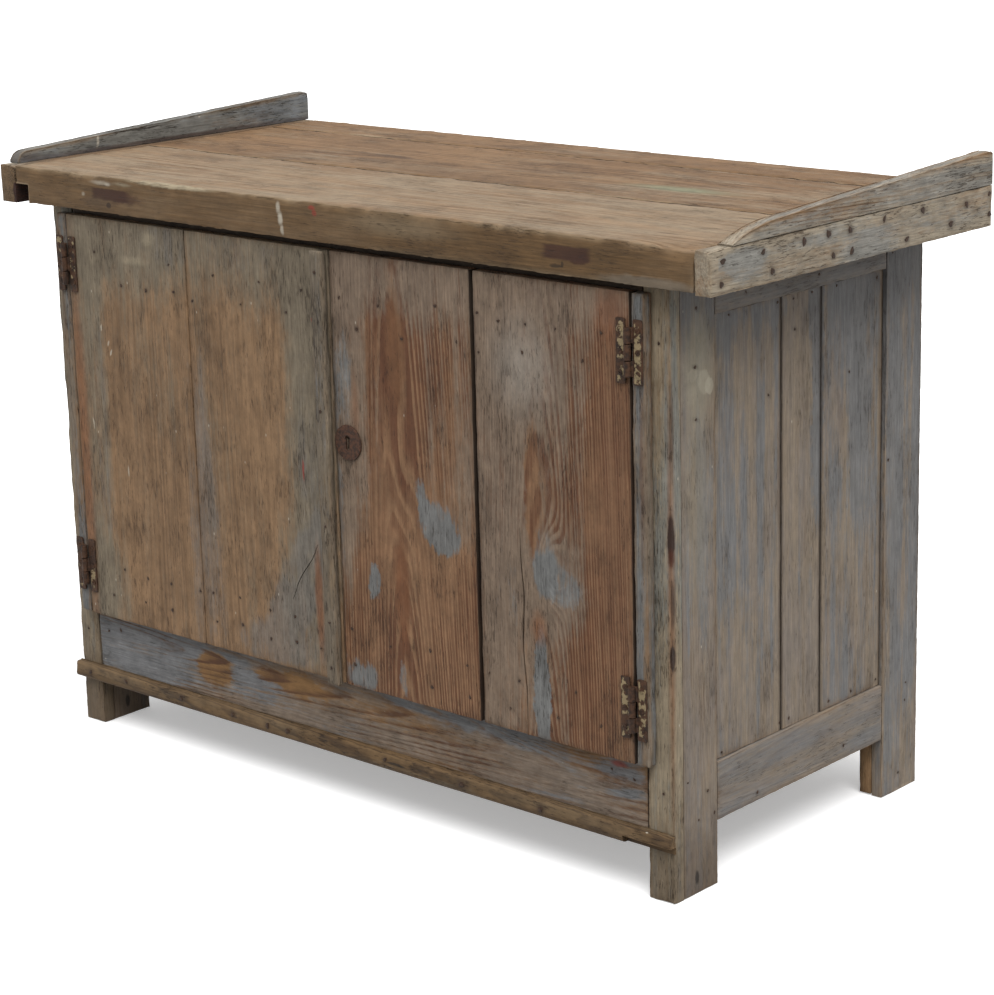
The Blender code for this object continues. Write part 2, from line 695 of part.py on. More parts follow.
carcass = new_pivot("carcass_origin", (0.0, 0.0, 0.0))
left_pivot = new_pivot("left_door_axis", (-HINGE_X, HINGE_Y, 0.0))
right_pivot = new_pivot("right_door_axis", (HINGE_X, HINGE_Y, 0.0))
bolt_pivot = new_pivot("lock_bolt_axis", (LOCK_CASE_X, FRONT + LOCK_CASE_DEPTH / 2, KEYHOLE_Z + BOLT_RISE))
button_pivot = new_pivot("turn_button_axis", (BUTTON_X, BUTTON_FRONT, BUTTON_Z))

leg_cutters = build_leg_cutters()
build_top()
build_legs()
build_sides()
build_front_frame()
build_inside()
lock_door_board = build_doors()
build_hinges()
build_lock(lock_door_board)
build_button()
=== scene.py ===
"""Looks of an old plank buffet: worn boards, rubbed blue-grey paint, rusted iron and a plain studio.

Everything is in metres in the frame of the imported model: +X along the front, -Y out of the doors, +Z up.
"""

import json
import logging
import math
import random
from dataclasses import dataclass, field, replace
from enum import Enum

import bmesh
import bpy
import numpy as np
from mathutils import Matrix, Vector


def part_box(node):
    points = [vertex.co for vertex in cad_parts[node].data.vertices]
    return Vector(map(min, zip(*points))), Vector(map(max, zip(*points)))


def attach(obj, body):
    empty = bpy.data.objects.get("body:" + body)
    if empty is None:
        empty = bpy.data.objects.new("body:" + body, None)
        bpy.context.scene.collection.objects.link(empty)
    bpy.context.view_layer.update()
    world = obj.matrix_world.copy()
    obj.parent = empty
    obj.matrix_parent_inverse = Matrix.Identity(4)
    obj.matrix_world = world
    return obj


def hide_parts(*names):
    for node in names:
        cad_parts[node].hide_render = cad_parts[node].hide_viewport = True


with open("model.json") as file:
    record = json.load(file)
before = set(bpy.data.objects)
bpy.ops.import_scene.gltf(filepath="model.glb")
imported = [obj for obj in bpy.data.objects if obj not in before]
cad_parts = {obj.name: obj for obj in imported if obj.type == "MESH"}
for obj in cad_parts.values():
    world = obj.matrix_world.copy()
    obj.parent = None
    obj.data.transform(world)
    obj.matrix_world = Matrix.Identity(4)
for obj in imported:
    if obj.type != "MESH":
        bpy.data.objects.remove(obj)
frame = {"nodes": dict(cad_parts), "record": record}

LOG = logging.getLogger("buffet")
Colour = tuple[float, float, float]
Pair = tuple[float, float]
Row = tuple[float, ...]
Point = tuple[float, float, float]
Thing = bpy.types.Object
Socket = bpy.types.NodeSocket
Value = float | Socket


class Axis(Enum):
    """An axis of the frame."""

    X = 0
    Y = 1
    Z = 2


class Face(Enum):
    """A side of the cabinet, as an axis and the way it looks."""

    FRONT = (Axis.Y, -1)
    BACK = (Axis.Y, 1)
    LEFT = (Axis.X, -1)
    RIGHT = (Axis.X, 1)
    OVER = (Axis.Z, 1)

    @property
    def normal(self) -> Vector:
        """Work out where the face looks.

        Returns:
            The outward direction.
        """
        axis, way = self.value
        out = Vector()
        out[axis.value] = way
        return out


class Side(Enum):
    """The left or right half of the cabinet."""

    LEFT = -1
    RIGHT = 1

    @property
    def word(self) -> str:
        """Name as the nodes spell it."""
        return self.name.lower()

    @property
    def face(self) -> Face:
        """The cabinet's face on this side."""
        return Face.LEFT if self is Side.LEFT else Face.RIGHT


def tone(red: int, green: int, blue: int) -> Colour:
    """Turn an eight-bit display colour into the linear colour that shaders take."""
    levels = [level / 255 for level in (red, green, blue)]
    return tuple(v / 12.92 if v <= 0.04045 else ((v + 0.055) / 1.055) ** 2.4 for v in levels)


# Colours of the old finishes
BLUE_GREY = tone(108, 111, 114)
STONE_GREY = tone(126, 117, 104)
SIDE_BEIGE = tone(135, 122, 106)
GREY_GREEN = tone(116, 108, 93)
CREAM = tone(166, 154, 130)
WHITE_FLECK = tone(196, 188, 172)
PINE_LIGHT = tone(140, 112, 84)
PINE_DARK = tone(94, 72, 52)
RED_PINE_LIGHT = tone(138, 107, 80)
RED_PINE_DARK = tone(92, 60, 41)
TOP_LIGHT = tone(140, 115, 88)
TOP_DARK = tone(99, 75, 53)
TOP_FILM = tone(140, 125, 104)
EDGE_BROWN = tone(95, 73, 48)
EDGE_PALE = tone(140, 124, 100)
BARE_LIGHT = tone(168, 136, 100)
BARE_DARK = tone(118, 88, 60)
WORN_PALE = tone(150, 134, 110)
OLD_BROWN = tone(84, 68, 52)
MAROON = tone(60, 38, 28)
RUST_STAIN = tone(48, 36, 29)
BURNT_ORANGE = tone(128, 84, 54)
RED_MARK = tone(140, 58, 48)
RUST_DARK = tone(50, 37, 30)
RUST_LIGHT = tone(88, 64, 48)
CAP_GREY = tone(156, 146, 129)
DARK_BLUE_GREY = tone(112, 113, 109)
STILE_BEIGE = tone(145, 133, 113)
# Dark brown for dirt in joints and cracks, also used as painted shade in gaps and in the notch under the top
DIRT_AND_SHADE_DARK = tone(32, 25, 19)
# Painted shade for the notch under the left end of the top
NOTCH_SHADE = tone(52, 32, 25)
GRIME = (0.36, 0.32, 0.29)
SMUDGE = (0.74, 0.73, 0.72)

# Reach of wear, grime, and joint dirt with painted shade from a board's edge, size of the noise that wears
# it, fall of a bell curve
ARRIS_REACH = 0.007
GRIME_REACH = 0.002
SEAM_REACH = 0.0009
ARRIS_NOISE = 0.03
FACE_NOISE = 0.14
BELL = 0.3679


class Recipe:
    """Chains the shader nodes of one material."""

    def __init__(self, name: str) -> None:
        """Start a material with its Principled shader.

        Args:
            name: Name of the material.
        """
        self.material = bpy.data.materials.new(name)
        self.material.use_nodes = True
        self.tree = self.material.node_tree
        self.shader = self.tree.nodes["Principled BSDF"]

    def put(self, socket: Socket, value: Value | tuple) -> None:
        """Link a socket to another one, or set its value.

        Args:
            socket: The socket.
            value: A socket, number, vector or colour.
        """
        if isinstance(value, Socket):
            self.tree.links.new(value, socket)
        elif socket.type == "RGBA":
            socket.default_value = (*value, 1.0)
        else:
            socket.default_value = value

    def plug(self, inputs: dict[str, Value | tuple]) -> None:
        """Plug sockets or values into the material's shader."""
        for name, value in inputs.items():
            self.put(self.shader.inputs[name], value)

    def node(self, kind: str, inputs: dict, output: str | int = 0, **settings) -> Socket:
        """Add a node.

        Args:
            kind: Node type without its ShaderNode prefix.
            inputs: Input name or index to a value or a socket.
            output: Output to return.
            settings: Properties of the node.

        Returns:
            The chosen output socket.
        """
        made = self.tree.nodes.new(f"ShaderNode{kind}")
        for key, value in settings.items():
            setattr(made, key, value)
        for key, value in inputs.items():
            self.put(made.inputs[key], value)
        return made.outputs[output]

    def math(self, operation: str, a: Value, b: Value = 0.0) -> Socket:
        """Combine two numbers."""
        return self.node("Math", {0: a, 1: b}, operation=operation)

    def add(self, *terms: Value) -> Socket:
        """Sum any count of numbers.

        Args:
            terms: The numbers.

        Returns:
            Their sum.
        """
        total = terms[0]
        for term in terms[1:]:
            total = self.math("ADD", total, term)
        return total

    def scaled(self, value: Value, factor: Value, offset: Value = 0.0) -> Socket:
        """Return value times factor plus offset."""
        return self.node("Math", {0: value, 1: factor, 2: offset}, operation="MULTIPLY_ADD")

    def step(self, value: Value, low: float, high: float) -> Socket:
        """Return a smooth step from 0 at low to 1 at high."""
        inputs = {"Value": value, "From Min": low, "From Max": high}
        return self.node("MapRange", inputs, interpolation_type="SMOOTHSTEP", clamp=True)

    def fade(self, value: Value, low: float, high: float) -> Socket:
        """Return a smooth step from 1 at low to 0 at high."""
        return self.math("SUBTRACT", 1.0, self.step(value, low, high))

    def mix(self, factor: Value, a: Colour | Socket, b: Colour | Socket, blend: str = "MIX") -> Socket:
        """Blend two colours."""
        inputs = {0: factor, 6: a, 7: b}
        return self.node("Mix", inputs, 2, data_type="RGBA", blend_type=blend, clamp_factor=True)

    def marked(self, name: str) -> Socket:
        """Read a number that the mesh holds for each point."""
        return self.node("Attribute", {}, "Fac", attribute_name=name)

    def split(self, vector: Socket) -> tuple[Socket, Socket, Socket]:
        """Take a vector apart.

        Args:
            vector: The vector.

        Returns:
            Its three numbers.
        """
        parts = self.tree.nodes.new("ShaderNodeSeparateXYZ")
        self.put(parts.inputs[0], vector)
        return tuple(parts.outputs)

    def stretched(self, vector: Socket, scale: Point, seed: float = 0.0) -> Socket:
        """Stretch pattern coordinates and move them to another stretch of the pattern."""
        inputs = {"Vector": vector, "Scale": scale, "Location": (seed, 1.7 * seed, -0.6 * seed)}
        return self.node("Mapping", inputs)

    def noise(self, vector: Socket, detail: float = 2.0, roughness: float = 0.5) -> Socket:
        """Return soft noise of about one bump for each unit of the coordinates."""
        inputs = {"Vector": vector, "Scale": 1.0, "Detail": detail, "Roughness": roughness}
        return self.node("TexNoise", inputs)

    def spot(
        self, vector: Socket, middle: Point, size: Point, turn: float = 0.0, square: bool = False
    ) -> Socket:
        """Measure how far the coordinates lie from a spot.

        Args:
            vector: Board coordinates.
            middle: The spot's middle.
            size: Its half size.
            turn: How far it is turned, in degrees.
            square: Whether it is square and not round.

        Returns:
            The distance from its middle, in units of its half size.
        """
        turned = (0.0, 0.0, math.radians(turn))
        inputs = {"Vector": vector, "Location": middle, "Rotation": turned, "Scale": size}
        mapped = self.node("Mapping", inputs, vector_type="TEXTURE")
        if not square:
            return self.node("VectorMath", {0: mapped}, "Value", operation="LENGTH")
        sides = self.split(self.node("VectorMath", {0: mapped}, operation="ABSOLUTE"))
        return self.math("MAXIMUM", self.math("MAXIMUM", sides[0], sides[1]), sides[2])

    def shaken(self, vector: Socket, seed: float, reach: float) -> Socket:
        """Shake coordinates a little, so that patches get ragged edges.

        Args:
            vector: Board coordinates.
            seed: Moves the random pattern.
            reach: How far they are shaken.

        Returns:
            The shaken coordinates.
        """
        places = self.stretched(vector, (75.0, 45.0, 75.0), seed + 17.0)
        inputs = {"Vector": places, "Scale": 1.0, "Detail": 5.0, "Roughness": 0.65}
        drift = self.node("TexNoise", inputs, "Color")
        drift = self.node("VectorMath", {0: drift, 1: (0.5, 0.5, 0.5)}, operation="SUBTRACT")
        drift = self.node("VectorMath", {0: drift, 1: (reach, 1.4 * reach, reach)}, operation="MULTIPLY")
        return self.node("VectorMath", {0: vector, 1: drift}, operation="ADD")

    def finish(self, colour: Socket, roughness: Value, height: Socket, depth: float) -> bpy.types.Material:
        """Plug the colour, roughness and relief into the shader.

        Args:
            colour: Base colour.
            roughness: Roughness, a number or a socket.
            height: Relief from 0 to 1.
            depth: Real height of the relief.

        Returns:
            The finished material.
        """
        bump = self.node("Bump", {"Height": height, "Distance": depth, "Strength": 1.0}, "Normal")
        self.plug({"Base Color": colour, "Roughness": roughness, "Normal": bump, "Specular IOR Level": 0.25})
        return self.material


@dataclass(frozen=True)
class Knot:
    """A knot that the growth rings bend round, in board coordinates (across, along)."""

    at: Pair
    size: Pair = (0.018, 0.036)
    swell: float = 0.014
    core: float = 0.5


@dataclass(frozen=True)
class Grain:
    """Growth rings of one board.

    Attributes:
        pith: Where the tree's middle lies, across the board and through its depth.
        lean: How far the middle drifts for each metre along the board, across and in depth.
        ring: Width of a growth ring.
        wave: How far the rings waver.
        contrast: How dark the late wood is.
        band: Share of a ring where the late wood starts and where it is full.
        tone: Makes the whole board darker.
        knots: Knots on the board.
    """

    pith: Pair
    lean: Pair = (0.0, 0.03)
    ring: float = 0.0036
    wave: float = 0.008
    contrast: float = 0.6
    band: Pair = (0.3, 0.85)
    tone: float = 0.0
    knots: tuple[Knot, ...] = ()


@dataclass(frozen=True)
class Patch:
    """A place on (across, along) where a film is thicker, or rubbed away if the amount is negative."""

    at: Pair
    size: Pair
    amount: float = 0.6
    turn: float = 0.0
    soft: float = 0.5


@dataclass(frozen=True)
class Tint:
    """A stain, fleck or drip of another colour; a few tints are painted shade and one is a painted highlight.
    Its depth, a middle and a half size, keeps it to an edge.
    """

    at: Pair
    size: Pair
    colour: Colour
    amount: float = 0.8
    turn: float = 0.0
    soft: float = 0.35
    depth: Pair = (0.0, 1e4)
    square: bool = False


@dataclass(frozen=True)
class Film:
    """What is left of one coat of paint.

    Attributes:
        colour: Paint colour.
        cover: Share that is left.
        blotch: How far large blotches change the cover.
        streak: How far streaks along the grain change it.
        hold: How far it keeps to the soft early wood.
        soft: Softness of its edges.
        most: Opacity where it is whole.
        rub: How far it is gone along the arrises.
        chip: How far small chips change the cover.
        patches: Places of more or less paint.
    """

    colour: Colour
    cover: float
    blotch: float = 1.0
    streak: float = 1.4
    hold: float = 0.0
    soft: float = 0.3
    most: float = 0.85
    rub: float = 0.15
    chip: float = 0.7
    patches: tuple[Patch, ...] = ()

    def mask(self, mix: Recipe, board: Socket, late: Socket, seed: float) -> Socket:
        """Work out where the film is left.

        Args:
            mix: The material's nodes.
            board: Board coordinates.
            late: Late wood of the rings.
            seed: Moves the random patterns.

        Returns:
            The film's opacity.
        """
        streaks = mix.noise(mix.stretched(board, (62.0, 2.1, 62.0), seed), 5.0, 0.62)
        blotches = mix.noise(mix.stretched(board, (15.0, 5.0, 15.0), seed + 13.0), 5.0, 0.6)
        chips = mix.noise(mix.stretched(board, (330.0, 70.0, 330.0), seed + 29.0), 3.0, 0.6)
        left = mix.add(
            mix.scaled(streaks, self.streak, self.cover - 0.5 * (self.streak + self.blotch + self.chip)),
            mix.scaled(blotches, self.blotch),
            mix.scaled(chips, self.chip),
            mix.scaled(late, -self.hold),
        )
        shaken = mix.shaken(board, seed, 0.024)
        for patch in self.patches:
            far = mix.spot(shaken, (*patch.at, 0.0), (*patch.size, 1e4), patch.turn)
            left = mix.scaled(mix.fade(far, 1.0 - patch.soft, 1.0 + patch.soft), patch.amount, left)
        left = mix.scaled(mix.math("MULTIPLY", mix.marked("arris"), blotches), -2.0 * self.rub, left)
        return mix.scaled(mix.step(left, 0.5 - self.soft, 0.5 + self.soft), self.most)


@dataclass(frozen=True)
class OldWood:
    """Weathered board with what is left of its paint.

    Attributes:
        light: Early wood colour.
        dark: Late wood colour.
        films: Coats of paint, the oldest first.
        strand: Strength of the streaks along the grain.
        arris: Colour of the rubbed arrises.
        bared: Strength of that colour.
        grimy: Colour that handling leaves on a grimy edge.
        soot: Strength of the dark pits and scratches.
        fleck: Share of small white paint flecks.
        tints: Stains of other colours, and a few painted shades and a painted highlight.
        uneven: Strength of the small mottled blotches.
        skin: Depth at which the painted side ends, or None for paint all round.
    """

    light: Colour = PINE_LIGHT
    dark: Colour = PINE_DARK
    films: tuple[Film, ...] = ()
    strand: float = 1.0
    arris: Colour = PINE_DARK
    bared: float = 0.4
    grimy: Colour = EDGE_BROWN
    soot: float = 0.6
    fleck: float = 0.25
    tints: tuple[Tint, ...] = ()
    uneven: float = 1.0
    skin: float | None = None

    def material(self, name: str, grain: Grain, along: Axis, depth: Axis, seed: float) -> bpy.types.Material:
        """Mix the board's material.

        Args:
            name: Material name.
            grain: The board's growth rings.
            along: Axis that the grain follows.
            depth: Axis through the board's thickness.
            seed: Moves the random patterns.

        Returns:
            The material.
        """
        mix = Recipe(name)
        place = mix.split(mix.node("TexCoord", {}, "Object"))
        across = 3 - along.value - depth.value
        board = mix.node("CombineXYZ", {0: place[across], 1: place[along.value], 2: place[depth.value]})
        late, core = self.rings(mix, board, grain, seed)
        fibre = mix.noise(mix.stretched(board, (800.0, 16.0, 800.0), seed), 2.0, 0.6)
        strand = mix.noise(mix.stretched(board, (260.0, 4.0, 260.0), seed + 2.2), 3.0, 0.62)
        cloud = mix.noise(mix.stretched(board, (9.0, 3.4, 9.0), seed + 3.1), 4.0, 0.6)
        weather = mix.noise(mix.stretched(board, (430.0, 22.0, 430.0), seed + 4.4), 4.0, 0.65)
        mottle = mix.noise(mix.stretched(board, (60.0, 34.0, 60.0), seed + 1.6), 6.0, 0.7)
        pits = mix.noise(mix.stretched(board, (640.0, 60.0, 640.0), seed + 5.3), 3.0, 0.6)
        shade = mix.add(
            mix.scaled(late, grain.contrast, grain.tone - 0.7 - 0.6 * self.strand),
            mix.scaled(fibre, 0.5),
            mix.scaled(strand, 1.2 * self.strand),
            mix.scaled(cloud, 1.3),
        )
        colour = mix.mix(shade, self.light, self.dark)
        colour = bare = mix.mix(mix.scaled(core, 0.8), colour, RUST_STAIN)
        paint = 0.0
        for count, film in enumerate(self.films):
            mask = film.mask(mix, board, late, seed + 4.7 * count)
            colour = mix.mix(mask, colour, self.coat(mix, film.colour, weather))
            paint = mix.math("MAXIMUM", paint, mask)
        grime = mix.math("MULTIPLY", mix.marked("grime"), mix.scaled(cloud, 1.2, 0.3))
        colour = mix.mix(grime, colour, self.coat(mix, self.grimy, weather))
        worn = mix.math("MULTIPLY", mix.marked("arris"), mix.step(cloud, 0.42, 0.62))
        colour = mix.mix(mix.scaled(worn, self.bared), colour, self.arris)
        for tint in self.tints:
            colour = self.stain(mix, board, colour, tint, seed)
        if self.skin is not None:
            colour = mix.mix(mix.step(place[depth.value], self.skin - 0.001, self.skin + 0.001), colour, bare)
        smudge = mix.noise(mix.stretched(board, (24.0, 9.0, 24.0), seed + 8.8), 5.0, 0.65)
        colour = mix.mix(mix.step(smudge, 0.45, 0.75), colour, mix.mix(1.0, colour, SMUDGE, "MULTIPLY"))
        blotch = mix.scaled(mottle, 1.3 * self.uneven, 1.0 - 0.65 * self.uneven)
        colour = mix.mix(1.0, colour, blotch, "MULTIPLY")
        least = 0.9 - 0.05 * self.soot
        dirt = mix.scaled(mix.step(mix.scaled(smudge, 0.5, pits), least, least + 0.06), min(self.soot, 1.0))
        colour = mix.mix(dirt, colour, mix.mix(1.0, colour, GRIME, "MULTIPLY"))
        colour = mix.mix(self.flecks(mix, board, seed), colour, WHITE_FLECK)
        rust = mix.math("MULTIPLY", mix.marked("rust"), mix.scaled(cloud, 1.4, 0.2))
        colour = mix.mix(rust, colour, RUST_STAIN)
        # Joint faces darkened: dirt and painted shade in the gaps between boards.
        colour = mix.mix(mix.scaled(mix.marked("seam"), 0.9), colour, DIRT_AND_SHADE_DARK)
        relief = mix.add(
            mix.scaled(late, 0.25), mix.scaled(strand, 0.5), mix.scaled(paint, 0.15), mix.scaled(dirt, -0.5)
        )
        return mix.finish(colour, mix.scaled(strand, 0.3, 0.56), relief, 0.0008)

    def coat(self, mix: Recipe, colour: Colour, weather: Socket) -> Socket:
        """Return a coat's colour, thicker and thinner along the grain."""
        thick, thin = (tuple(share * level for level in colour) for share in (1.25, 0.62))
        return mix.mix(mix.scaled(weather, 2.6 * self.strand, 0.4 - 1.3 * self.strand), thick, thin)

    def rings(self, mix: Recipe, board: Socket, grain: Grain, seed: float) -> tuple[Socket, Socket]:
        """Draw the growth rings.

        Args:
            mix: The material's nodes.
            board: Board coordinates.
            grain: The board's growth rings.
            seed: Moves the random patterns.

        Returns:
            The late wood of the rings, and the dark cores of the knots.
        """
        drift = mix.noise(mix.stretched(board, (7.0, 2.0, 7.0), seed + 7.7), 3.0)
        across, along, depth = mix.split(board)
        aside = mix.scaled(along, grain.lean[0], mix.scaled(drift, grain.wave, -grain.pith[0]))
        behind = mix.scaled(along, grain.lean[1], -grain.pith[1])
        aside = mix.math("ADD", across, aside)
        behind = mix.math("ADD", depth, behind)
        squares = mix.add(mix.math("MULTIPLY", aside, aside), mix.math("MULTIPLY", behind, behind))
        radius = mix.math("SQRT", squares)
        core = 0.0
        for knot in grain.knots:
            far = mix.spot(board, (*knot.at, 0.0), (*knot.size, 1e4))
            bump = mix.math("POWER", BELL, mix.math("MULTIPLY", far, far))
            radius = mix.scaled(bump, knot.swell, radius)
            core = mix.math("MAXIMUM", core, mix.scaled(mix.step(bump, 0.72, 0.95), knot.core))
        turns = mix.math("DIVIDE", radius, grain.ring)
        uneven = mix.node("TexNoise", {"W": turns, "Scale": 0.36, "Detail": 2.0}, noise_dimensions="1D")
        ragged = mix.noise(mix.stretched(board, (150.0, 9.0, 150.0), seed + 6.1), 2.0)
        phase = mix.math("FRACT", mix.add(turns, mix.scaled(uneven, 1.2), mix.scaled(ragged, 0.5)))
        late = mix.math("MULTIPLY", mix.step(phase, *grain.band), mix.fade(phase, 0.86, 1.0))
        vary = mix.node("TexNoise", {"W": turns, "Scale": 0.43, "Detail": 1.0}, noise_dimensions="1D")
        faint = mix.noise(mix.stretched(board, (11.0, 3.0, 11.0), seed + 9.4), 2.0)
        clear = mix.scaled(mix.step(faint, 0.3, 0.6), 0.7, 0.3)
        strength = mix.math("MULTIPLY", mix.scaled(vary, 1.5, 0.2), clear)
        return mix.math("MULTIPLY", late, strength), core

    def stain(self, mix: Recipe, board: Socket, colour: Socket, tint: Tint, seed: float) -> Socket:
        """Lay one tint over the colour: a stain, a fleck, painted shade or a painted highlight.

        Args:
            mix: The material's nodes.
            board: Board coordinates.
            colour: The colour so far.
            tint: The stain.
            seed: Moves the random pattern.

        Returns:
            The stained colour.
        """
        reach = 0.006 if tint.square else max(0.9 * min(tint.size), 0.004)
        shaken = mix.shaken(board, seed + tint.at[0], reach)
        middle = (*tint.at, tint.depth[0])
        far = mix.spot(shaken, middle, (*tint.size, tint.depth[1]), tint.turn, tint.square)
        near = mix.fade(far, 1.0 - tint.soft, 1.0 + tint.soft)
        return mix.mix(mix.scaled(near, tint.amount), colour, tint.colour)

    def flecks(self, mix: Recipe, board: Socket, seed: float) -> Socket:
        """Scatter small flecks of white paint over the board.

        Args:
            mix: The material's nodes.
            board: Board coordinates.
            seed: Moves the random pattern.

        Returns:
            The opacity of the flecks.
        """
        cells = mix.tree.nodes.new("ShaderNodeTexVoronoi")
        mix.put(cells.inputs["Vector"], mix.stretched(board, (95.0, 45.0, 95.0), seed + 19.0))
        cells.inputs["Scale"].default_value = 1.0
        chosen = mix.math("GREATER_THAN", cells.outputs["Color"], 0.95 - 0.3 * self.fleck)
        small = mix.fade(cells.outputs["Distance"], 0.03, 0.13)
        return mix.math("MULTIPLY", mix.math("MULTIPLY", chosen, small), 0.7)


@dataclass(frozen=True)
class OldIron:
    """Rusted iron with flakes of old paint.

    Attributes:
        dark: Colour of the deep rust.
        light: Colour of the dry rust.
        flake: Paint colour.
        cover: Paint left: about half at 0, none at -1.
        scale: Flakes for each metre.
    """

    dark: Colour = RUST_DARK
    light: Colour = RUST_LIGHT
    flake: Colour = CREAM
    cover: float = -1.0
    scale: float = 260.0

    def material(self, name: str, seed: float = 0.0) -> bpy.types.Material:
        """Mix the iron's material.

        Args:
            name: Material name.
            seed: Moves the random patterns.

        Returns:
            The material.
        """
        mix = Recipe(name)
        place = mix.node("TexCoord", {}, "Object")
        bloom = mix.noise(mix.stretched(place, (self.scale,) * 3, seed), 4.0, 0.65)
        grit = mix.noise(mix.stretched(place, (1400.0,) * 3, seed + 2.0), 2.0)
        colour = mix.mix(mix.step(bloom, 0.34, 0.66), self.dark, self.light)
        colour = mix.mix(mix.scaled(grit, 0.5), colour, mix.mix(1.0, colour, (0.5, 0.46, 0.42), "MULTIPLY"))
        chip = mix.noise(mix.stretched(place, (0.6 * self.scale,) * 3, seed + 4.0), 4.0, 0.6)
        left = mix.math("SUBTRACT", mix.math("ADD", chip, self.cover), mix.marked("bare"))
        paint = mix.step(left, 0.48, 0.54)
        flake = mix.mix(mix.step(grit, 0.55, 0.75), self.flake, tuple(0.55 * c for c in self.flake))
        colour = mix.mix(paint, colour, flake)
        relief = mix.add(mix.scaled(bloom, 0.5), mix.scaled(grit, 0.2), mix.scaled(paint, 0.5))
        mix.plug({"Metallic": 0.15})
        return mix.finish(colour, mix.scaled(grit, 0.3, 0.5), relief, 0.0005)


def activate(obj: Thing) -> None:
    """Make obj the only selected and active object.

    Args:
        obj: The object.
    """
    bpy.ops.object.select_all(action="DESELECT")
    obj.select_set(True)
    bpy.context.view_layer.objects.active = obj


def apply_place(obj: Thing) -> None:
    """Move an object's place, turn and size into its mesh."""
    activate(obj)
    bpy.ops.object.transform_apply(location=True, rotation=True, scale=True)


def block(name: str, low: Point, high: Point) -> Thing:
    """Add a cube stretched between two corners, with its place in its mesh.

    Args:
        name: Name of the new object.
        low: Its lowest corner.
        high: Its highest corner.

    Returns:
        The block.
    """
    low, high = Vector(low), Vector(high)
    bpy.ops.mesh.primitive_cube_add(size=1.0, location=(low + high) / 2)
    made = bpy.context.object
    made.name = name
    made.scale = high - low
    apply_place(made)
    return made


def rod(name: str, radius: float, length: float, at: Point, axis: Axis, sides: int = 24) -> Thing:
    """Add a cylinder along an axis, with its place in its mesh.

    Args:
        name: Name of the new object.
        radius: Its radius.
        length: Its length.
        at: Its middle.
        axis: Axis that it follows.
        sides: Number of its flat sides.

    Returns:
        The cylinder.
    """
    turn = {Axis.X: (0.0, math.pi / 2, 0.0), Axis.Y: (math.pi / 2, 0.0, 0.0), Axis.Z: (0.0, 0.0, 0.0)}[axis]
    bpy.ops.mesh.primitive_cylinder_add(
        vertices=sides, radius=radius, depth=length, location=at, rotation=turn
    )
    made = bpy.context.object
    made.name = name
    apply_place(made)
    return made


def pick_edges(obj: Thing, axis: Axis, longer: float = 0.0) -> float:
    """Select the edges that run along an axis, in edit mode.

    Args:
        obj: The mesh object.
        axis: Axis that the edges follow.
        longer: Shortest edge that is picked.

    Returns:
        The longest edge that is picked.
    """
    bpy.ops.mesh.select_mode(type="EDGE")
    bpy.ops.mesh.select_all(action="DESELECT")
    mesh = bmesh.from_edit_mesh(obj.data)
    longest = 0.0
    for edge in mesh.edges:
        run = edge.verts[1].co - edge.verts[0].co
        if abs(run[axis.value]) > 0.99 * run.length and run.length > longer:
            edge.select_set(True)
            longest = max(longest, run.length)
    mesh.select_flush_mode()
    bmesh.update_edit_mesh(obj.data)
    return longest


def pick_faces(obj: Thing, side: Face) -> None:
    """Select the faces that look out to one side, in edit mode.

    Args:
        obj: The mesh object.
        side: Side that the faces look to.
    """
    bpy.ops.mesh.select_mode(type="FACE")
    bpy.ops.mesh.select_all(action="DESELECT")
    mesh = bmesh.from_edit_mesh(obj.data)
    for face in mesh.faces:
        face.select_set(face.normal.dot(side.normal) > 0.9)
    bmesh.update_edit_mesh(obj.data)


def cut_rings(obj: Thing, axis: Axis, step: float, most: int = 80) -> None:
    """Divide all edges that run along an axis into steps, in edit mode.

    Args:
        obj: The mesh object.
        axis: Axis that the edges follow.
        step: Length of a step.
        most: Most pieces that one division makes.
    """
    pieces = round(pick_edges(obj, axis, 1.6 * step) / step)
    if pieces > most:
        bpy.ops.mesh.subdivide(number_cuts=math.ceil(pieces / most) - 1)
        pieces = round(pick_edges(obj, axis, 1.6 * step) / step)
    if pieces > 1:
        bpy.ops.mesh.subdivide(number_cuts=pieces - 1)


def rub_away(obj: Thing, depth: float, size: float, contrast: float = 1.0, group: str = "") -> None:
    """Wear a mesh inwards by cloudy noise.

    Args:
        obj: The mesh object.
        depth: Deepest wear.
        size: Size of the noise.
        contrast: Contrast of the noise.
        group: Vertex group that is worn, or all of the mesh.
    """
    clouds = bpy.data.textures.new(f"{obj.name}_wear", "CLOUDS")
    clouds.noise_scale = size
    clouds.noise_depth = 3
    clouds.contrast = contrast
    push = obj.modifiers.new("wear", "DISPLACE")
    push.texture = clouds
    push.texture_coords = "LOCAL"
    push.mid_level = 1.0
    push.strength = depth
    push.vertex_group = group
    activate(obj)
    bpy.ops.object.modifier_apply(modifier=push.name)


def carve(obj: Thing, tool: Thing, operation: str = "DIFFERENCE") -> None:
    """Cut a shape out of a mesh, or fuse it on, and remove the tool.

    Args:
        obj: The mesh object.
        tool: The shape.
        operation: DIFFERENCE to cut it out, UNION to fuse it on.
    """
    cut = obj.modifiers.new("cut", "BOOLEAN")
    cut.object = tool
    cut.operation = operation
    cut.solver = "EXACT"
    activate(obj)
    bpy.ops.object.modifier_apply(modifier=cut.name)
    bpy.data.objects.remove(tool, do_unlink=True)


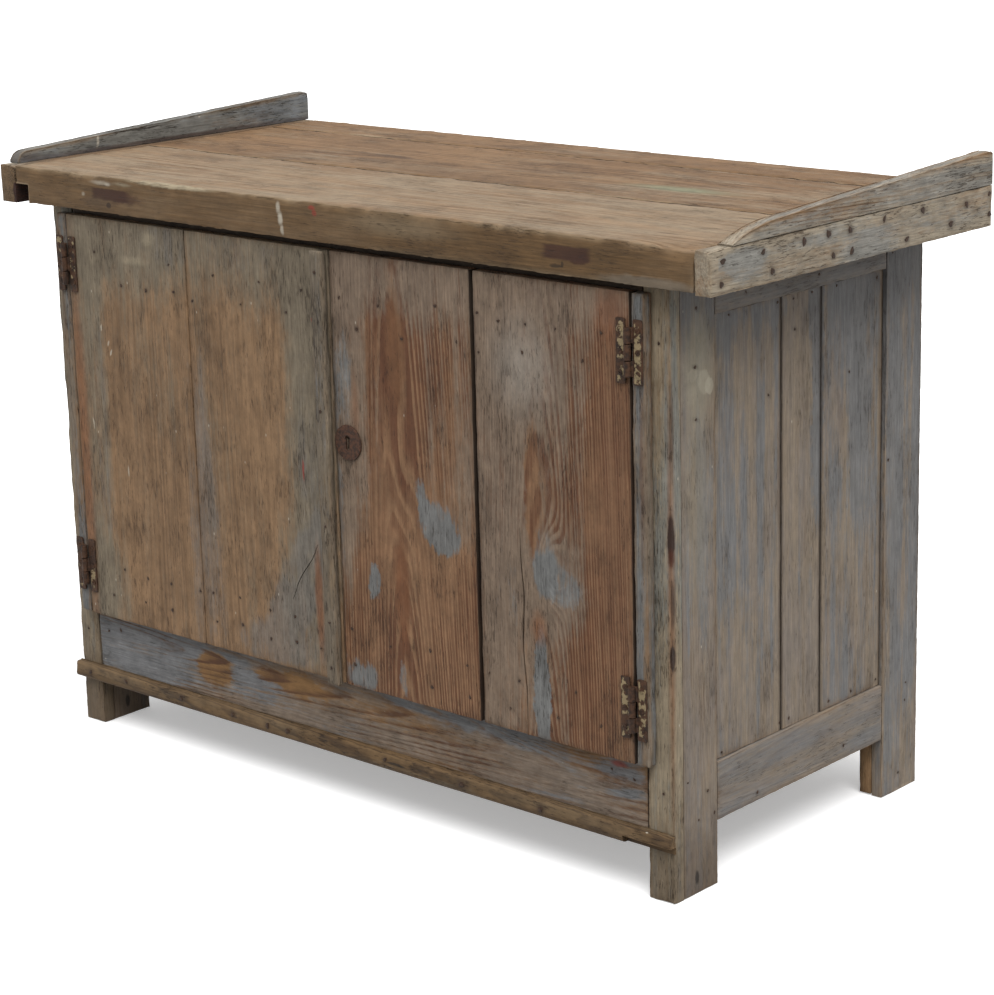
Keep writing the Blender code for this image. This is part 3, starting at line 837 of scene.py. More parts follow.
def cast(obj: Thing, grain: float, pitting: float) -> None:
    """Turn joined solids into one skin, soften it and pit it.

    Args:
        obj: The mesh object.
        grain: Size of the skin's faces.
        pitting: Depth of the pits.
    """
    skin = obj.modifiers.new("skin", "REMESH")
    skin.mode = "VOXEL"
    skin.voxel_size = grain
    soft = obj.modifiers.new("soft", "SMOOTH")
    soft.iterations = 3
    activate(obj)
    for name in ("skin", "soft"):
        bpy.ops.object.modifier_apply(modifier=name)
    rub_away(obj, pitting, 6.0 * grain, 1.5)
    bpy.ops.object.shade_smooth()


def join(pieces: list[Thing], name: str) -> Thing:
    """Join mesh objects into the first of them.

    Args:
        pieces: The objects.
        name: Name of the joined object.

    Returns:
        The joined object.
    """
    bpy.ops.object.select_all(action="DESELECT")
    for piece in pieces:
        piece.select_set(True)
    bpy.context.view_layer.objects.active = pieces[0]
    if len(pieces) > 1:
        bpy.ops.object.join()
    pieces[0].name = name
    return pieces[0]


def copy_of(pattern: Thing, name: str, move: Matrix) -> Thing:
    """Copy an object with a mesh of its own and move that mesh.

    Args:
        pattern: The object.
        name: Name of the copy.
        move: Where the mesh goes.

    Returns:
        The copy.
    """
    made = bpy.data.objects.new(name, pattern.data.copy())
    made.data.transform(move)
    bpy.context.scene.collection.objects.link(made)
    return made


def paint_with(obj: Thing, material: bpy.types.Material) -> None:
    """Give a mesh one material."""
    obj.data.materials.clear()
    obj.data.materials.append(material)


def points_of(obj: Thing) -> np.ndarray:
    """Read the places of a mesh's points.

    Args:
        obj: The mesh object.

    Returns:
        One row for each point.
    """
    flat = np.empty(3 * len(obj.data.vertices), np.float32)
    obj.data.vertices.foreach_get("co", flat)
    return flat.reshape(-1, 3).astype(float)


def set_points(obj: Thing, points: np.ndarray) -> None:
    """Move a mesh's points."""
    obj.data.vertices.foreach_set("co", points.astype(np.float32).ravel())
    obj.data.update()


def set_attribute(obj: Thing, name: str, values: np.ndarray) -> None:
    """Store one number for each point."""
    held = obj.data.attributes.new(name, "FLOAT", "POINT")
    held.data.foreach_set("value", values.astype(np.float32))


class Parts:
    """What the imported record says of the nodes, and the pieces that stand for them."""

    bodies = {n: body for body, nodes in frame["record"]["behaviour"]["bodies"].items() for n in nodes}
    slots = {part["node"]: part["material_slot"] for part in frame["record"]["subparts"]}

    @classmethod
    def stand_for(cls, piece: Thing, node: str) -> None:
        """Let a piece take a node's place and body.

        Args:
            piece: The piece.
            node: The node.
        """
        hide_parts(node)
        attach(piece, cls.bodies[node])
        LOG.info("%s stands for %s on %s", piece.name, node, cls.bodies[node])

    @classmethod
    def add(cls, piece: Thing, body: str, slot: str) -> None:
        """Let a new piece ride on a body.

        Args:
            piece: The piece.
            body: The body.
            slot: Its finish slot; not used.
        """
        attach(piece, body)
        LOG.info("%s rides on %s", piece.name, body)

    @classmethod
    def dress(cls, node: str, material: bpy.types.Material) -> None:
        """Give a node that stays in view a better material."""
        paint_with(frame["nodes"][node], material)
        LOG.info("%s keeps its solid", node)


@dataclass(frozen=True)
class Nail:
    """A nail head on a face of the cabinet."""

    at: Point
    face: Face
    radius: float = 0.0024
    stain: float = 1.0
    sink: float = 0.0
    reach: float = 0.007


@dataclass
class NailHeads:
    """Nail heads of one body, modelled once, copied and joined into one piece."""

    body: str
    nails: list[Nail]
    tilt: float = 0.06
    height: float = 0.0012
    iron: OldIron = OldIron(tone(36, 27, 22), tone(72, 52, 39), scale=500.0)

    def build(self) -> Thing:
        """Model, copy and join the heads.

        Returns:
            The joined nail heads.
        """
        pattern = self.head()
        rng = random.Random(self.body)
        copies = [copy_of(pattern, "head", self.place(nail, rng)) for nail in self.nails]
        bpy.data.objects.remove(pattern, do_unlink=True)
        made = join(copies, f"{self.body}_nails")
        paint_with(made, self.iron.material(f"{self.body}_nail_rust"))
        Parts.add(made, self.body, "rusty_iron")
        return made

    def place(self, nail: Nail, rng: random.Random) -> Matrix:
        """Set the pattern down as one nail, a little tilted and out of round.

        Args:
            nail: The nail.
            rng: Source of the random numbers.

        Returns:
            The move that does it.
        """
        turn = nail.face.normal.to_track_quat("Z", "Y").to_matrix().to_4x4()
        lean = Matrix.Rotation(rng.uniform(-self.tilt, self.tilt), 4, "X")
        spin = Matrix.Rotation(rng.uniform(0.0, math.tau), 4, "Z")
        wide, narrow = nail.radius * rng.uniform(0.9, 1.2), nail.radius * rng.uniform(0.65, 0.95)
        size = Matrix.Diagonal((wide, narrow, self.height, 1.0))
        return Matrix.Translation(Vector(nail.at) - nail.face.normal * nail.sink) @ turn @ lean @ spin @ size

    def head(self) -> Thing:
        """Model one flat domed head of unit radius, with its rim at height zero.

        Returns:
            The head.
        """
        made = rod("head_pattern", 1.0, 2.0, (0.0, 0.0, -1.0), Axis.Z, 12)
        bpy.ops.object.mode_set(mode="EDIT")
        pick_faces(made, Face.OVER)
        bpy.ops.mesh.inset(thickness=0.28, depth=0.2)
        bpy.ops.mesh.inset(thickness=0.3, depth=0.1)
        bpy.ops.object.mode_set(mode="OBJECT")
        points = points_of(made)
        angle = np.arctan2(points[:, 1], points[:, 0])
        points[:, :2] *= (1.0 + 0.14 * np.sin(3 * angle) + 0.09 * np.sin(5 * angle + 1.0))[:, None]
        set_points(made, points)
        bpy.ops.object.shade_smooth_by_angle(angle=math.radians(50))
        return made


@dataclass(frozen=True)
class Crack:
    """A crack along a board's face, from one point to another on that face."""

    start: Point
    end: Point
    face: Face
    width: float = 0.0012
    depth: float = 0.006
    stray: float = 0.004

    def tool(self) -> Thing:
        """Model the crack as a thin wavering blade.

        Returns:
            The blade to cut with.
        """
        start, end, out = Vector(self.start), Vector(self.end), self.face.normal
        run = end - start
        blade = block("crack", (-self.width / 2, 0.0, -self.depth), (self.width / 2, run.length, self.depth))
        bpy.ops.object.mode_set(mode="EDIT")
        cut_rings(blade, Axis.Y, 0.012)
        bpy.ops.object.mode_set(mode="OBJECT")
        points = points_of(blade)
        rng = random.Random(str(self.start))
        phase, pace = rng.uniform(0.0, math.tau), rng.uniform(35.0, 55.0)
        along = points[:, 1]
        taper = np.clip(np.minimum(along, run.length - along) / (0.25 * run.length), 0.12, 1.0)
        points[:, 0] = points[:, 0] * taper + self.stray * np.sin(pace * along + phase) * taper / 2
        set_points(blade, points)
        side = run.normalized().cross(out)
        turn = Matrix((side, run.normalized(), out)).transposed().to_4x4()
        blade.data.transform(Matrix.Translation(start) @ turn)
        return blade


@dataclass(frozen=True)
class Nick:
    """A dent or a worn hollow in a board's arris."""

    at: Point
    reach: Point
    depth: float


@dataclass
class Plank:
    """A worn board that stands for a squared board of the frame.

    Attributes:
        node: Node that it stands for.
        finish: What the board looks like.
        along: Axis of its grain.
        grain: Its growth rings, or None for rings drawn by its name.
        step: Mesh size on its faces.
        ease: Rounding of the arrises.
        wear: Deepest wear of the arrises.
        sag: Deepest unevenness of the faces.
        nails: Nails whose rust stains it.
        cracks: Cracks in it.
        tools: Shapes that are cut out of it.
        handled: Face that hands have left grimy.
        seams: Faces that lie in a joint, darkened with dirt and painted shade.
        inset: How far all faces lie inside the squared board.
        worn: The only face whose arrises wear, or None for all of them.
        nicks: Dents in its arrises.
    """

    node: str
    finish: OldWood
    along: Axis
    grain: Grain | None = None
    step: float = 0.006
    ease: float = 0.0022
    wear: float = 0.0028
    sag: float = 0.0007
    nails: list[Nail] = field(default_factory=list)
    cracks: tuple[Crack, ...] = ()
    tools: list[Thing] = field(default_factory=list)
    handled: Face | None = None
    seams: tuple[Face, ...] = ()
    inset: float = 0.0
    worn: Face | None = None
    nicks: tuple[Nick, ...] = ()

    def __post_init__(self) -> None:
        """Take the board's corners from the frame."""
        low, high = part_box(self.node)
        inset = Vector((self.inset,) * 3)
        self.low, self.high = low + inset, high - inset

    def build(self) -> Thing:
        """Model, wear and dress the board.

        Returns:
            The board.
        """
        made = block(f"worn_{self.node}", self.low, self.high)
        bpy.ops.object.mode_set(mode="EDIT")
        bpy.ops.mesh.select_all(action="SELECT")
        bpy.ops.mesh.bevel(offset=min(self.ease, min(self.high - self.low) / 5), segments=3, affect="EDGES")
        size = self.high - self.low
        for axis in sorted(Axis, key=lambda axis: size[axis.value]):
            cut_rings(made, axis, self.step)
        bpy.ops.object.mode_set(mode="OBJECT")
        self.shape(made)
        self.mark(made)
        for tool in self.tools + [crack.tool() for crack in self.cracks]:
            carve(made, tool)
        self.dent(made)
        rub_away(made, self.wear, ARRIS_NOISE, 1.6, "rubbed")
        rub_away(made, self.sag, FACE_NOISE)
        activate(made)
        bpy.ops.object.shade_smooth_by_angle(angle=math.radians(48))
        self.dress(made)
        Parts.stand_for(made, self.node)
        return made

    def shape(self, made: Thing) -> None:
        """Give the board its outline, where it isn't squared."""

    def arris_gap(self, points: np.ndarray) -> np.ndarray:
        """Measure how far points lie from the nearest arris.

        Args:
            points: Points of the mesh.

        Returns:
            One distance for each point.
        """
        gaps = np.minimum(points - np.array(self.low), np.array(self.high) - points)
        gap = np.sort(gaps, axis=1)[:, 1]
        return np.maximum(gap, self.face_gap(points, self.worn)) if self.worn else gap

    def dent(self, made: Thing) -> None:
        """Press the nicks into the board, towards its middle.

        Args:
            made: The board.
        """
        points = points_of(made)
        middle = np.array((self.low + self.high) / 2)
        for nick in self.nicks:
            far = np.linalg.norm((points - np.array(nick.at)) / np.array(nick.reach), axis=1)
            inward = middle - np.array(nick.at)
            inward[self.along.value] = 0.0
            points += np.outer(np.exp(-far * far) * nick.depth, np.sign(inward) / math.sqrt(2.0))
        set_points(made, points)

    def mark(self, made: Thing) -> None:
        """Store how near each point is to an arris, to a rusty nail and to a handled face.

        Args:
            made: The board.
        """
        points = points_of(made)
        arris = np.clip(1.0 - self.arris_gap(points) / ARRIS_REACH, 0.0, 1.0)
        group = made.vertex_groups.new(name="rubbed")
        for index in np.nonzero(arris > 0.02)[0]:
            group.add([int(index)], float(arris[index]), "REPLACE")
        set_attribute(made, "arris", arris)
        rust = np.zeros(len(points))
        for nail in self.nails:
            near = np.linalg.norm(points - np.array(nail.at), axis=1)
            rust = np.maximum(rust, nail.stain * np.clip(1.3 - near / nail.reach, 0.0, 1.0))
        set_attribute(made, "rust", rust)
        if self.handled:
            grime = np.clip(1.7 - self.face_gap(points, self.handled) / GRIME_REACH, 0.0, 1.0)
            set_attribute(made, "grime", grime)
        # Joint faces: dirt and painted shade coloured into the gap beside them.
        seam = np.zeros(len(points))
        for face in self.seams:
            seam = np.maximum(seam, np.clip(1.6 - self.face_gap(points, face) / SEAM_REACH, 0.0, 1.0))
        set_attribute(made, "seam", seam)

    def face_gap(self, points: np.ndarray, face: Face) -> np.ndarray:
        """Return each point's distance from a face's plane."""
        axis, way = face.value
        return np.abs(points[:, axis.value] - (self.high if way > 0 else self.low)[axis.value])

    def dress(self, made: Thing) -> None:
        """Give the board its finish.

        Args:
            made: The board.
        """
        size = self.high - self.low
        thin, wide = sorted((axis for axis in Axis if axis != self.along), key=lambda axis: size[axis.value])
        rng = random.Random(self.node)
        grain = self.grain or self.drawn_grain(rng, thin, wide)
        name, seed = f"{self.node}_finish", rng.uniform(0.0, 40.0)
        paint_with(made, self.finish.material(name, grain, self.along, thin, seed))

    def drawn_grain(self, rng: random.Random, thin: Axis, wide: Axis) -> Grain:
        """Draw growth rings for a board from its name.

        Args:
            rng: Source of the random numbers.
            thin: Axis through the board.
            wide: Axis across it.

        Returns:
            The rings.
        """
        middle, half = (self.low + self.high) / 2, (self.high - self.low) / 2
        aside = middle[wide.value] + rng.uniform(-0.8, 0.8) * half[wide.value]
        lean = (rng.uniform(-0.02, 0.02), rng.uniform(0.02, 0.05))
        return Grain((aside, middle[thin.value] + rng.uniform(0.03, 0.09)), lean, rng.uniform(0.0028, 0.0042))


@dataclass
class Gallery(Plank):
    """A tapered board on edge that rises to the back and has a rounded nose at the front."""

    nose: float = 0.018
    front_height: float = 0.0158
    corner: float = 0.005
    tip: float = 0.0022
    bluff: bool = True
    seat: float = 0.0018

    def __post_init__(self) -> None:
        """Take the corners from the frame and let the foot into the cap a little."""
        super().__post_init__()
        self.low.z -= self.seat

    def height(self, y: np.ndarray) -> np.ndarray:
        """Work out the board's height along its length.

        Args:
            y: Places along it.

        Returns:
            The height at each place.
        """
        run = np.clip(y - self.low.y, 0.0, None)
        length, rear = self.high.y - self.low.y, self.high.z - self.low.z
        tall = self.front_height + (rear - self.front_height) * run / length
        nose_top = self.front_height + (rear - self.front_height) * self.nose / length
        share = np.clip(run / self.nose, 0.0, 1.0)
        bow = np.sqrt(1.0 - (1.0 - share) ** 2) if self.bluff else share**0.6
        tall = np.where(run < self.nose, nose_top * bow, tall)
        past = np.clip(run - (length - self.corner), 0.0, self.corner)
        tall -= self.corner - np.sqrt(self.corner**2 - past**2)
        return np.maximum(tall, self.tip)

    def shape(self, made: Thing) -> None:
        """Bring the block's height down to the outline.

        Args:
            made: The board.
        """
        points = points_of(made)
        share = (points[:, 2] - self.low.z) / (self.high.z - self.low.z)
        points[:, 2] = self.low.z + share * self.height(points[:, 1])
        set_points(made, points)

    def arris_gap(self, points: np.ndarray) -> np.ndarray:
        """Measure how far points lie from the sloping top edges.

        Args:
            points: Points of the mesh.

        Returns:
            One distance for each point.
        """
        down = self.low.z + self.height(points[:, 1]) - points[:, 2]
        aside = np.minimum(points[:, 0] - self.low.x, self.high.x - points[:, 0])
        return np.maximum(down, aside)


@dataclass
class Moulding(Plank):
    """A strip with rounded edges nailed along the base."""

    least: float = 0.12
    power: float = 4.0

    def shape(self, made: Thing) -> None:
        """Round the strip's front edges.

        Args:
            made: The board.
        """
        points = points_of(made)
        level = 2.0 * (points[:, 2] - self.low.z) / (self.high.z - self.low.z) - 1.0
        bow = np.clip(1.0 - np.abs(level) ** self.power, 0.0, 1.0) ** (1.0 / self.power)
        points[:, 1] = self.high.y + (points[:, 1] - self.high.y) * np.maximum(bow, self.least)
        set_points(made, points)

    def arris_gap(self, points: np.ndarray) -> np.ndarray:
        """Return each point's distance from the strip's upper crown, which feet and brooms wear."""
        crown_z = self.low.z + 0.7 * (self.high.z - self.low.z)
        return 0.5 * np.abs(points[:, 2] - crown_z)


def nail_row(
    face: Face,
    level: float,
    fixed: float,
    places: Row,
    spread: float = 0.004,
    radii: Pair = (0.0016, 0.0027),
    sink: float = 0.0,
    halo: float = 1.7,
) -> list[Nail]:
    """Set nails along a level line, a little out of true.

    Args:
        face: Face that the nails are driven into.
        level: Height of the row.
        fixed: Place of the face along its axis.
        places: Places along the row.
        spread: How far the nails stray up or down.
        radii: Smallest and largest head.
        sink: How deep the heads are driven.
        halo: Reach of the rust round a head, in head radii.

    Returns:
        The nails.
    """
    rng = random.Random(f"{face.name}{level}{fixed}")
    nails = []
    for place in places:
        z = level + rng.uniform(-spread, spread)
        at = (place, fixed, z) if face.value[0] is Axis.Y else (fixed, place, z)
        radius = rng.uniform(*radii)
        nails.append(Nail(at, face, radius, rng.uniform(0.3, 0.9), sink, halo * radius))
    return nails


@dataclass
class Top:
    """The serving top: three long boards, an end cap at each side and the two galleries on the caps."""

    finish: OldWood = OldWood(
        TOP_LIGHT, TOP_DARK, (Film(TOP_FILM, 0.55, 1.6, 1.5, 0.1, 0.4, 0.75, 0.0),),
        arris=WORN_PALE, fleck=0.1, strand=0.8, uneven=0.6,
    )
    dark_finish: OldWood = OldWood(
        tone(131, 102, 72), tone(85, 61, 41),
        (
            Film(TOP_FILM, 0.16, 1.8, 1.8, 0.1, 0.4, 0.75, 0.0, patches=(
                Patch((0.05, 0.52), (0.3, 0.26), 0.3, soft=0.8),
            )),
        ),
        arris=WORN_PALE, fleck=0.1, soot=0.8, strand=0.9, uneven=0.7,
    )
    cap_finish: OldWood = OldWood(
        TOP_LIGHT, PINE_DARK, (
            Film(CAP_GREY, 0.72, 1.2, 1.4, soft=0.35),
            Film(tone(132, 132, 128), 0.35, 1.6, 1.4, soft=0.25, most=0.8, patches=(
                Patch((0.802, -0.298), (0.04, 0.012), -0.8), Patch((0.805, -0.235), (0.022, 0.04), 0.5),
                Patch((0.79, 0.02), (0.02, 0.05), 0.3),
            )),
        ),
        arris=WORN_PALE, bared=0.3, soot=0.9,
    )
    gallery_finish: OldWood = OldWood(
        tone(110, 92, 76), tone(76, 58, 46),
        (
            Film(DARK_BLUE_GREY, 0.8, 1.6, 1.4, rub=0.35),
            Film(tone(112, 116, 120), 0.45, 2.0, 1.4, soft=0.25, rub=0.35),
        ),
        arris=EDGE_PALE, bared=0.4, fleck=0.3, soot=0.9,
        tints=(
            Tint((0.844, -0.132), (0.009, 0.002), WHITE_FLECK, 0.6, 12.0, 0.6),
            Tint((0.853, -0.055), (0.0012, 0.05), DIRT_AND_SHADE_DARK, 0.7, soft=0.4),
            Tint((0.838, -0.26), (0.006, 0.02), MAROON, 0.4, soft=0.7),
            Tint((0.832, 0.01), (0.0035, 0.29), MAROON, 0.7, soft=0.7),
        ),
    )
    right_gallery_finish: OldWood = OldWood(
        TOP_LIGHT, PINE_DARK,
        (Film(CAP_GREY, 0.65, 1.2, 1.4, 0.2, 0.35), Film(tone(134, 132, 126), 0.5, 1.6, 1.4, 0.2, 0.3)),
        arris=tone(120, 92, 62), bared=0.9, soot=0.9,
    )
    notch_low: Point = (-0.6080, -0.3100, 0.7700)
    notch_high: Point = (-0.5797, -0.23815, 0.8040)
    cap_rows: dict[float, Row] = field(default_factory=lambda: {
        0.8155: (-0.274, -0.197, -0.116, -0.066, -0.021, 0.052, 0.137, 0.238, 0.292),
        0.790: (-0.277, -0.179, -0.056, -0.017, 0.102, 0.202, 0.293),
    })

    def build(self) -> list[Nail]:
        """Build the top.

        Returns:
            The nails that show on it.
        """
        nails = self.cap_nails(Side.LEFT) + self.cap_nails(Side.RIGHT)
        self.boards()
        for side in Side:
            low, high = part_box(f"end_cap_{side.word}")
            wall = (self.notch_low[0], 0.006)
            foot = (side.value * 0.614, 0.009)
            marks = (
                # Painted shade: the cap's face inside the notch under the top is coloured dark.
                Tint((0.7885, -0.268), (0.0165, 0.034), NOTCH_SHADE, 1.0, soft=0.05, depth=wall, square=True),
                Tint((0.832, 0.012), (0.007, 0.285), TOP_DARK, 0.85, soft=0.2, depth=foot, square=True),
            )
            front = Face.FRONT if side is Side.LEFT else None
            Plank(
                f"end_cap_{side.word}", replace(self.cap_finish, tints=marks), Axis.Y, step=0.005, ease=0.001,
                nails=nails, wear=0.0016, inset=0.0007, handled=front,
                nicks=(Nick((high.x, low.y, high.z), (0.012, 0.012, 0.012), 0.003),),
            ).build()
        swirl = Knot((0.855, 0.14), (0.012, 0.03), 0.014, 0.3)
        right_grain = Grain((0.80, 0.60), (0.05, 0.0), 0.0035, 0.008, 0.8, knots=(swirl,))
        edges = {"step": 0.005, "ease": 0.0008, "wear": 0.002, "inset": 0.0006}
        Gallery("gallery_left", self.gallery_finish, Axis.Y, nose=0.018, **edges).build()
        Gallery(
            "gallery_right", self.right_gallery_finish, Axis.Y, right_grain, nose=0.075, bluff=False, **edges
        ).build()
        return nails

    def boards(self) -> None:
        """Build the three long boards."""
        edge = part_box("top_board_front")[0].y
        low, high = self.notch_low, self.notch_high
        hollow = ((low[1] + 3 * high[1]) / 4, (low[0] + high[0]) / 2)
        tints = (
            Tint((edge, -0.402), (0.02, 0.036), MAROON, 0.92, soft=0.16, depth=(0.8045, 0.0078), square=True),
            Tint((edge, -0.375), (0.02, 0.034), MAROON, 0.75, soft=0.6, depth=(0.802, 0.0075)),
            Tint((edge, -0.43), (0.02, 0.03), OLD_BROWN, 0.7, soft=0.8, depth=(0.792, 0.007)),
            Tint((edge, -0.405), (0.02, 0.005), RUST_STAIN, 0.85, soft=0.3, depth=(0.790, 0.004)),
            Tint((edge, 0.426), (0.02, 0.036), MAROON, 0.92, soft=0.16, depth=(0.806, 0.0082), square=True),
            Tint((edge, 0.444), (0.02, 0.016), MAROON, 0.9, soft=0.3, depth=(0.801, 0.007)),
            Tint((edge, 0.410), (0.02, 0.010), DIRT_AND_SHADE_DARK, 0.7, soft=0.3, depth=(0.789, 0.0022)),
            Tint((edge, 0.419), (0.02, 0.002), DIRT_AND_SHADE_DARK, 0.7, soft=0.3, depth=(0.792, 0.004)),
            Tint((edge, -0.0665), (0.01, 0.0035), WHITE_FLECK, 0.6, soft=0.5, depth=(0.817, 0.007)),
            Tint((edge, -0.0630), (0.01, 0.0040), WHITE_FLECK, 0.75, soft=0.5, depth=(0.803, 0.008)),
            Tint((edge, -0.0600), (0.01, 0.0028), WHITE_FLECK, 0.6, soft=0.5, depth=(0.788, 0.006)),
            Tint((edge, -0.004), (0.01, 0.006), RED_MARK, 0.75, soft=0.5, depth=(0.822, 0.003)),
            Tint((edge, 0.001), (0.01, 0.004), RED_MARK, 0.7, soft=0.5, depth=(0.816, 0.004)),
            Tint((edge, -0.420), (0.006, 0.016), WHITE_FLECK, 0.5, soft=1.0, depth=(0.820, 0.0022)),
            Tint((edge, -0.406), (0.006, 0.005), WHITE_FLECK, 0.6, soft=0.8, depth=(0.819, 0.0018)),
            Tint((edge, -0.375), (0.006, 0.014), CREAM, 0.6, soft=1.0, depth=(0.821, 0.002)),
            Tint((edge, -0.459), (0.006, 0.003), WHITE_FLECK, 0.5, soft=0.8, depth=(0.802, 0.0025)),
            Tint((edge, 0.55), (0.012, 0.07), STONE_GREY, 0.6, depth=(0.782, 0.008)),
            Tint((edge + 0.002, -0.28), (0.006, 0.08), CREAM, 0.75, depth=(0.828, 0.004)),
            Tint((edge, 0.15), (0.012, 0.08), WORN_PALE, 0.4, soft=0.8, depth=(0.812, 0.012)),
            Tint((-0.229, 0.526), (0.003, 0.016), OLD_BROWN, 0.7),
            Tint((-0.091, 0.540), (0.003, 0.014), OLD_BROWN, 0.7),
            # Painted shade: the notch cut in the front board's underside is coloured dark.
            Tint(hollow, (0.046, 0.0155), DIRT_AND_SHADE_DARK, 0.95, soft=0.05, depth=(0.789, 0.0165)),
        )
        finish = replace(self.finish, tints=tints)
        notch = block("notch", self.notch_low, self.notch_high)
        Plank(
            "top_board_front", finish, Axis.X, Grain((-0.19, 0.74), (0.02, 0.02), 0.006, 0.014, 0.5),
            step=0.0042, ease=0.0014, wear=0.0028, sag=0.0012, handled=Face.FRONT, tools=[notch],
            seams=(Face.BACK,), nicks=self.nicks(),
        ).build()
        marks = (
            Tint((0.045, 0.33), (0.016, 0.07), tone(126, 144, 120), 0.45, soft=0.8),
            Tint((0.006, 0.560), (0.008, 0.014), tone(190, 172, 158), 0.7),
            Tint((0.120, 0.420), (0.004, 0.020), OLD_BROWN, 0.6),
            Tint((0.00, -0.05), (0.05, 0.30), OLD_BROWN, 0.25, soft=0.9),
        )
        Plank(
            "top_board_middle", replace(self.dark_finish, tints=marks), Axis.X,
            Grain((0.07, 0.76), (-0.02, 0.02), 0.006, 0.014, 0.6), step=0.006, sag=0.0012,
            seams=(Face.FRONT, Face.BACK),
        ).build()
        Plank("top_board_rear", self.dark_finish, Axis.X, step=0.006, wear=0.004, seams=(Face.FRONT,)).build()

    def nicks(self) -> tuple[Nick, ...]:
        """Set small dents along the front arris and a worn hollow at its right end.

        Returns:
            The dents.
        """
        low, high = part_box("top_board_front")
        rng = random.Random("nicks")
        found = [Nick((high.x - 0.02, low.y, high.z), (0.045, 0.02, 0.014), 0.008)]
        for _ in range(46):
            at = (rng.uniform(low.x, high.x), low.y, high.z)
            found.append(Nick(at, (rng.uniform(0.004, 0.016), 0.007, 0.007), rng.uniform(0.0008, 0.0035)))
        return tuple(found)

    def cap_nails(self, side: Side) -> list[Nail]:
        """Set two staggered rows of nails in an end cap.

        Args:
            side: Side of the cap.

        Returns:
            The nails.
        """
        low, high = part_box(f"end_cap_{side.word}")
        x = high.x if side is Side.RIGHT else low.x
        nails = []
        for level, places in self.cap_rows.items():
            nails += nail_row(side.face, level, x, places, 0.004, (0.0038, 0.0052), 0.0007)
        return nails


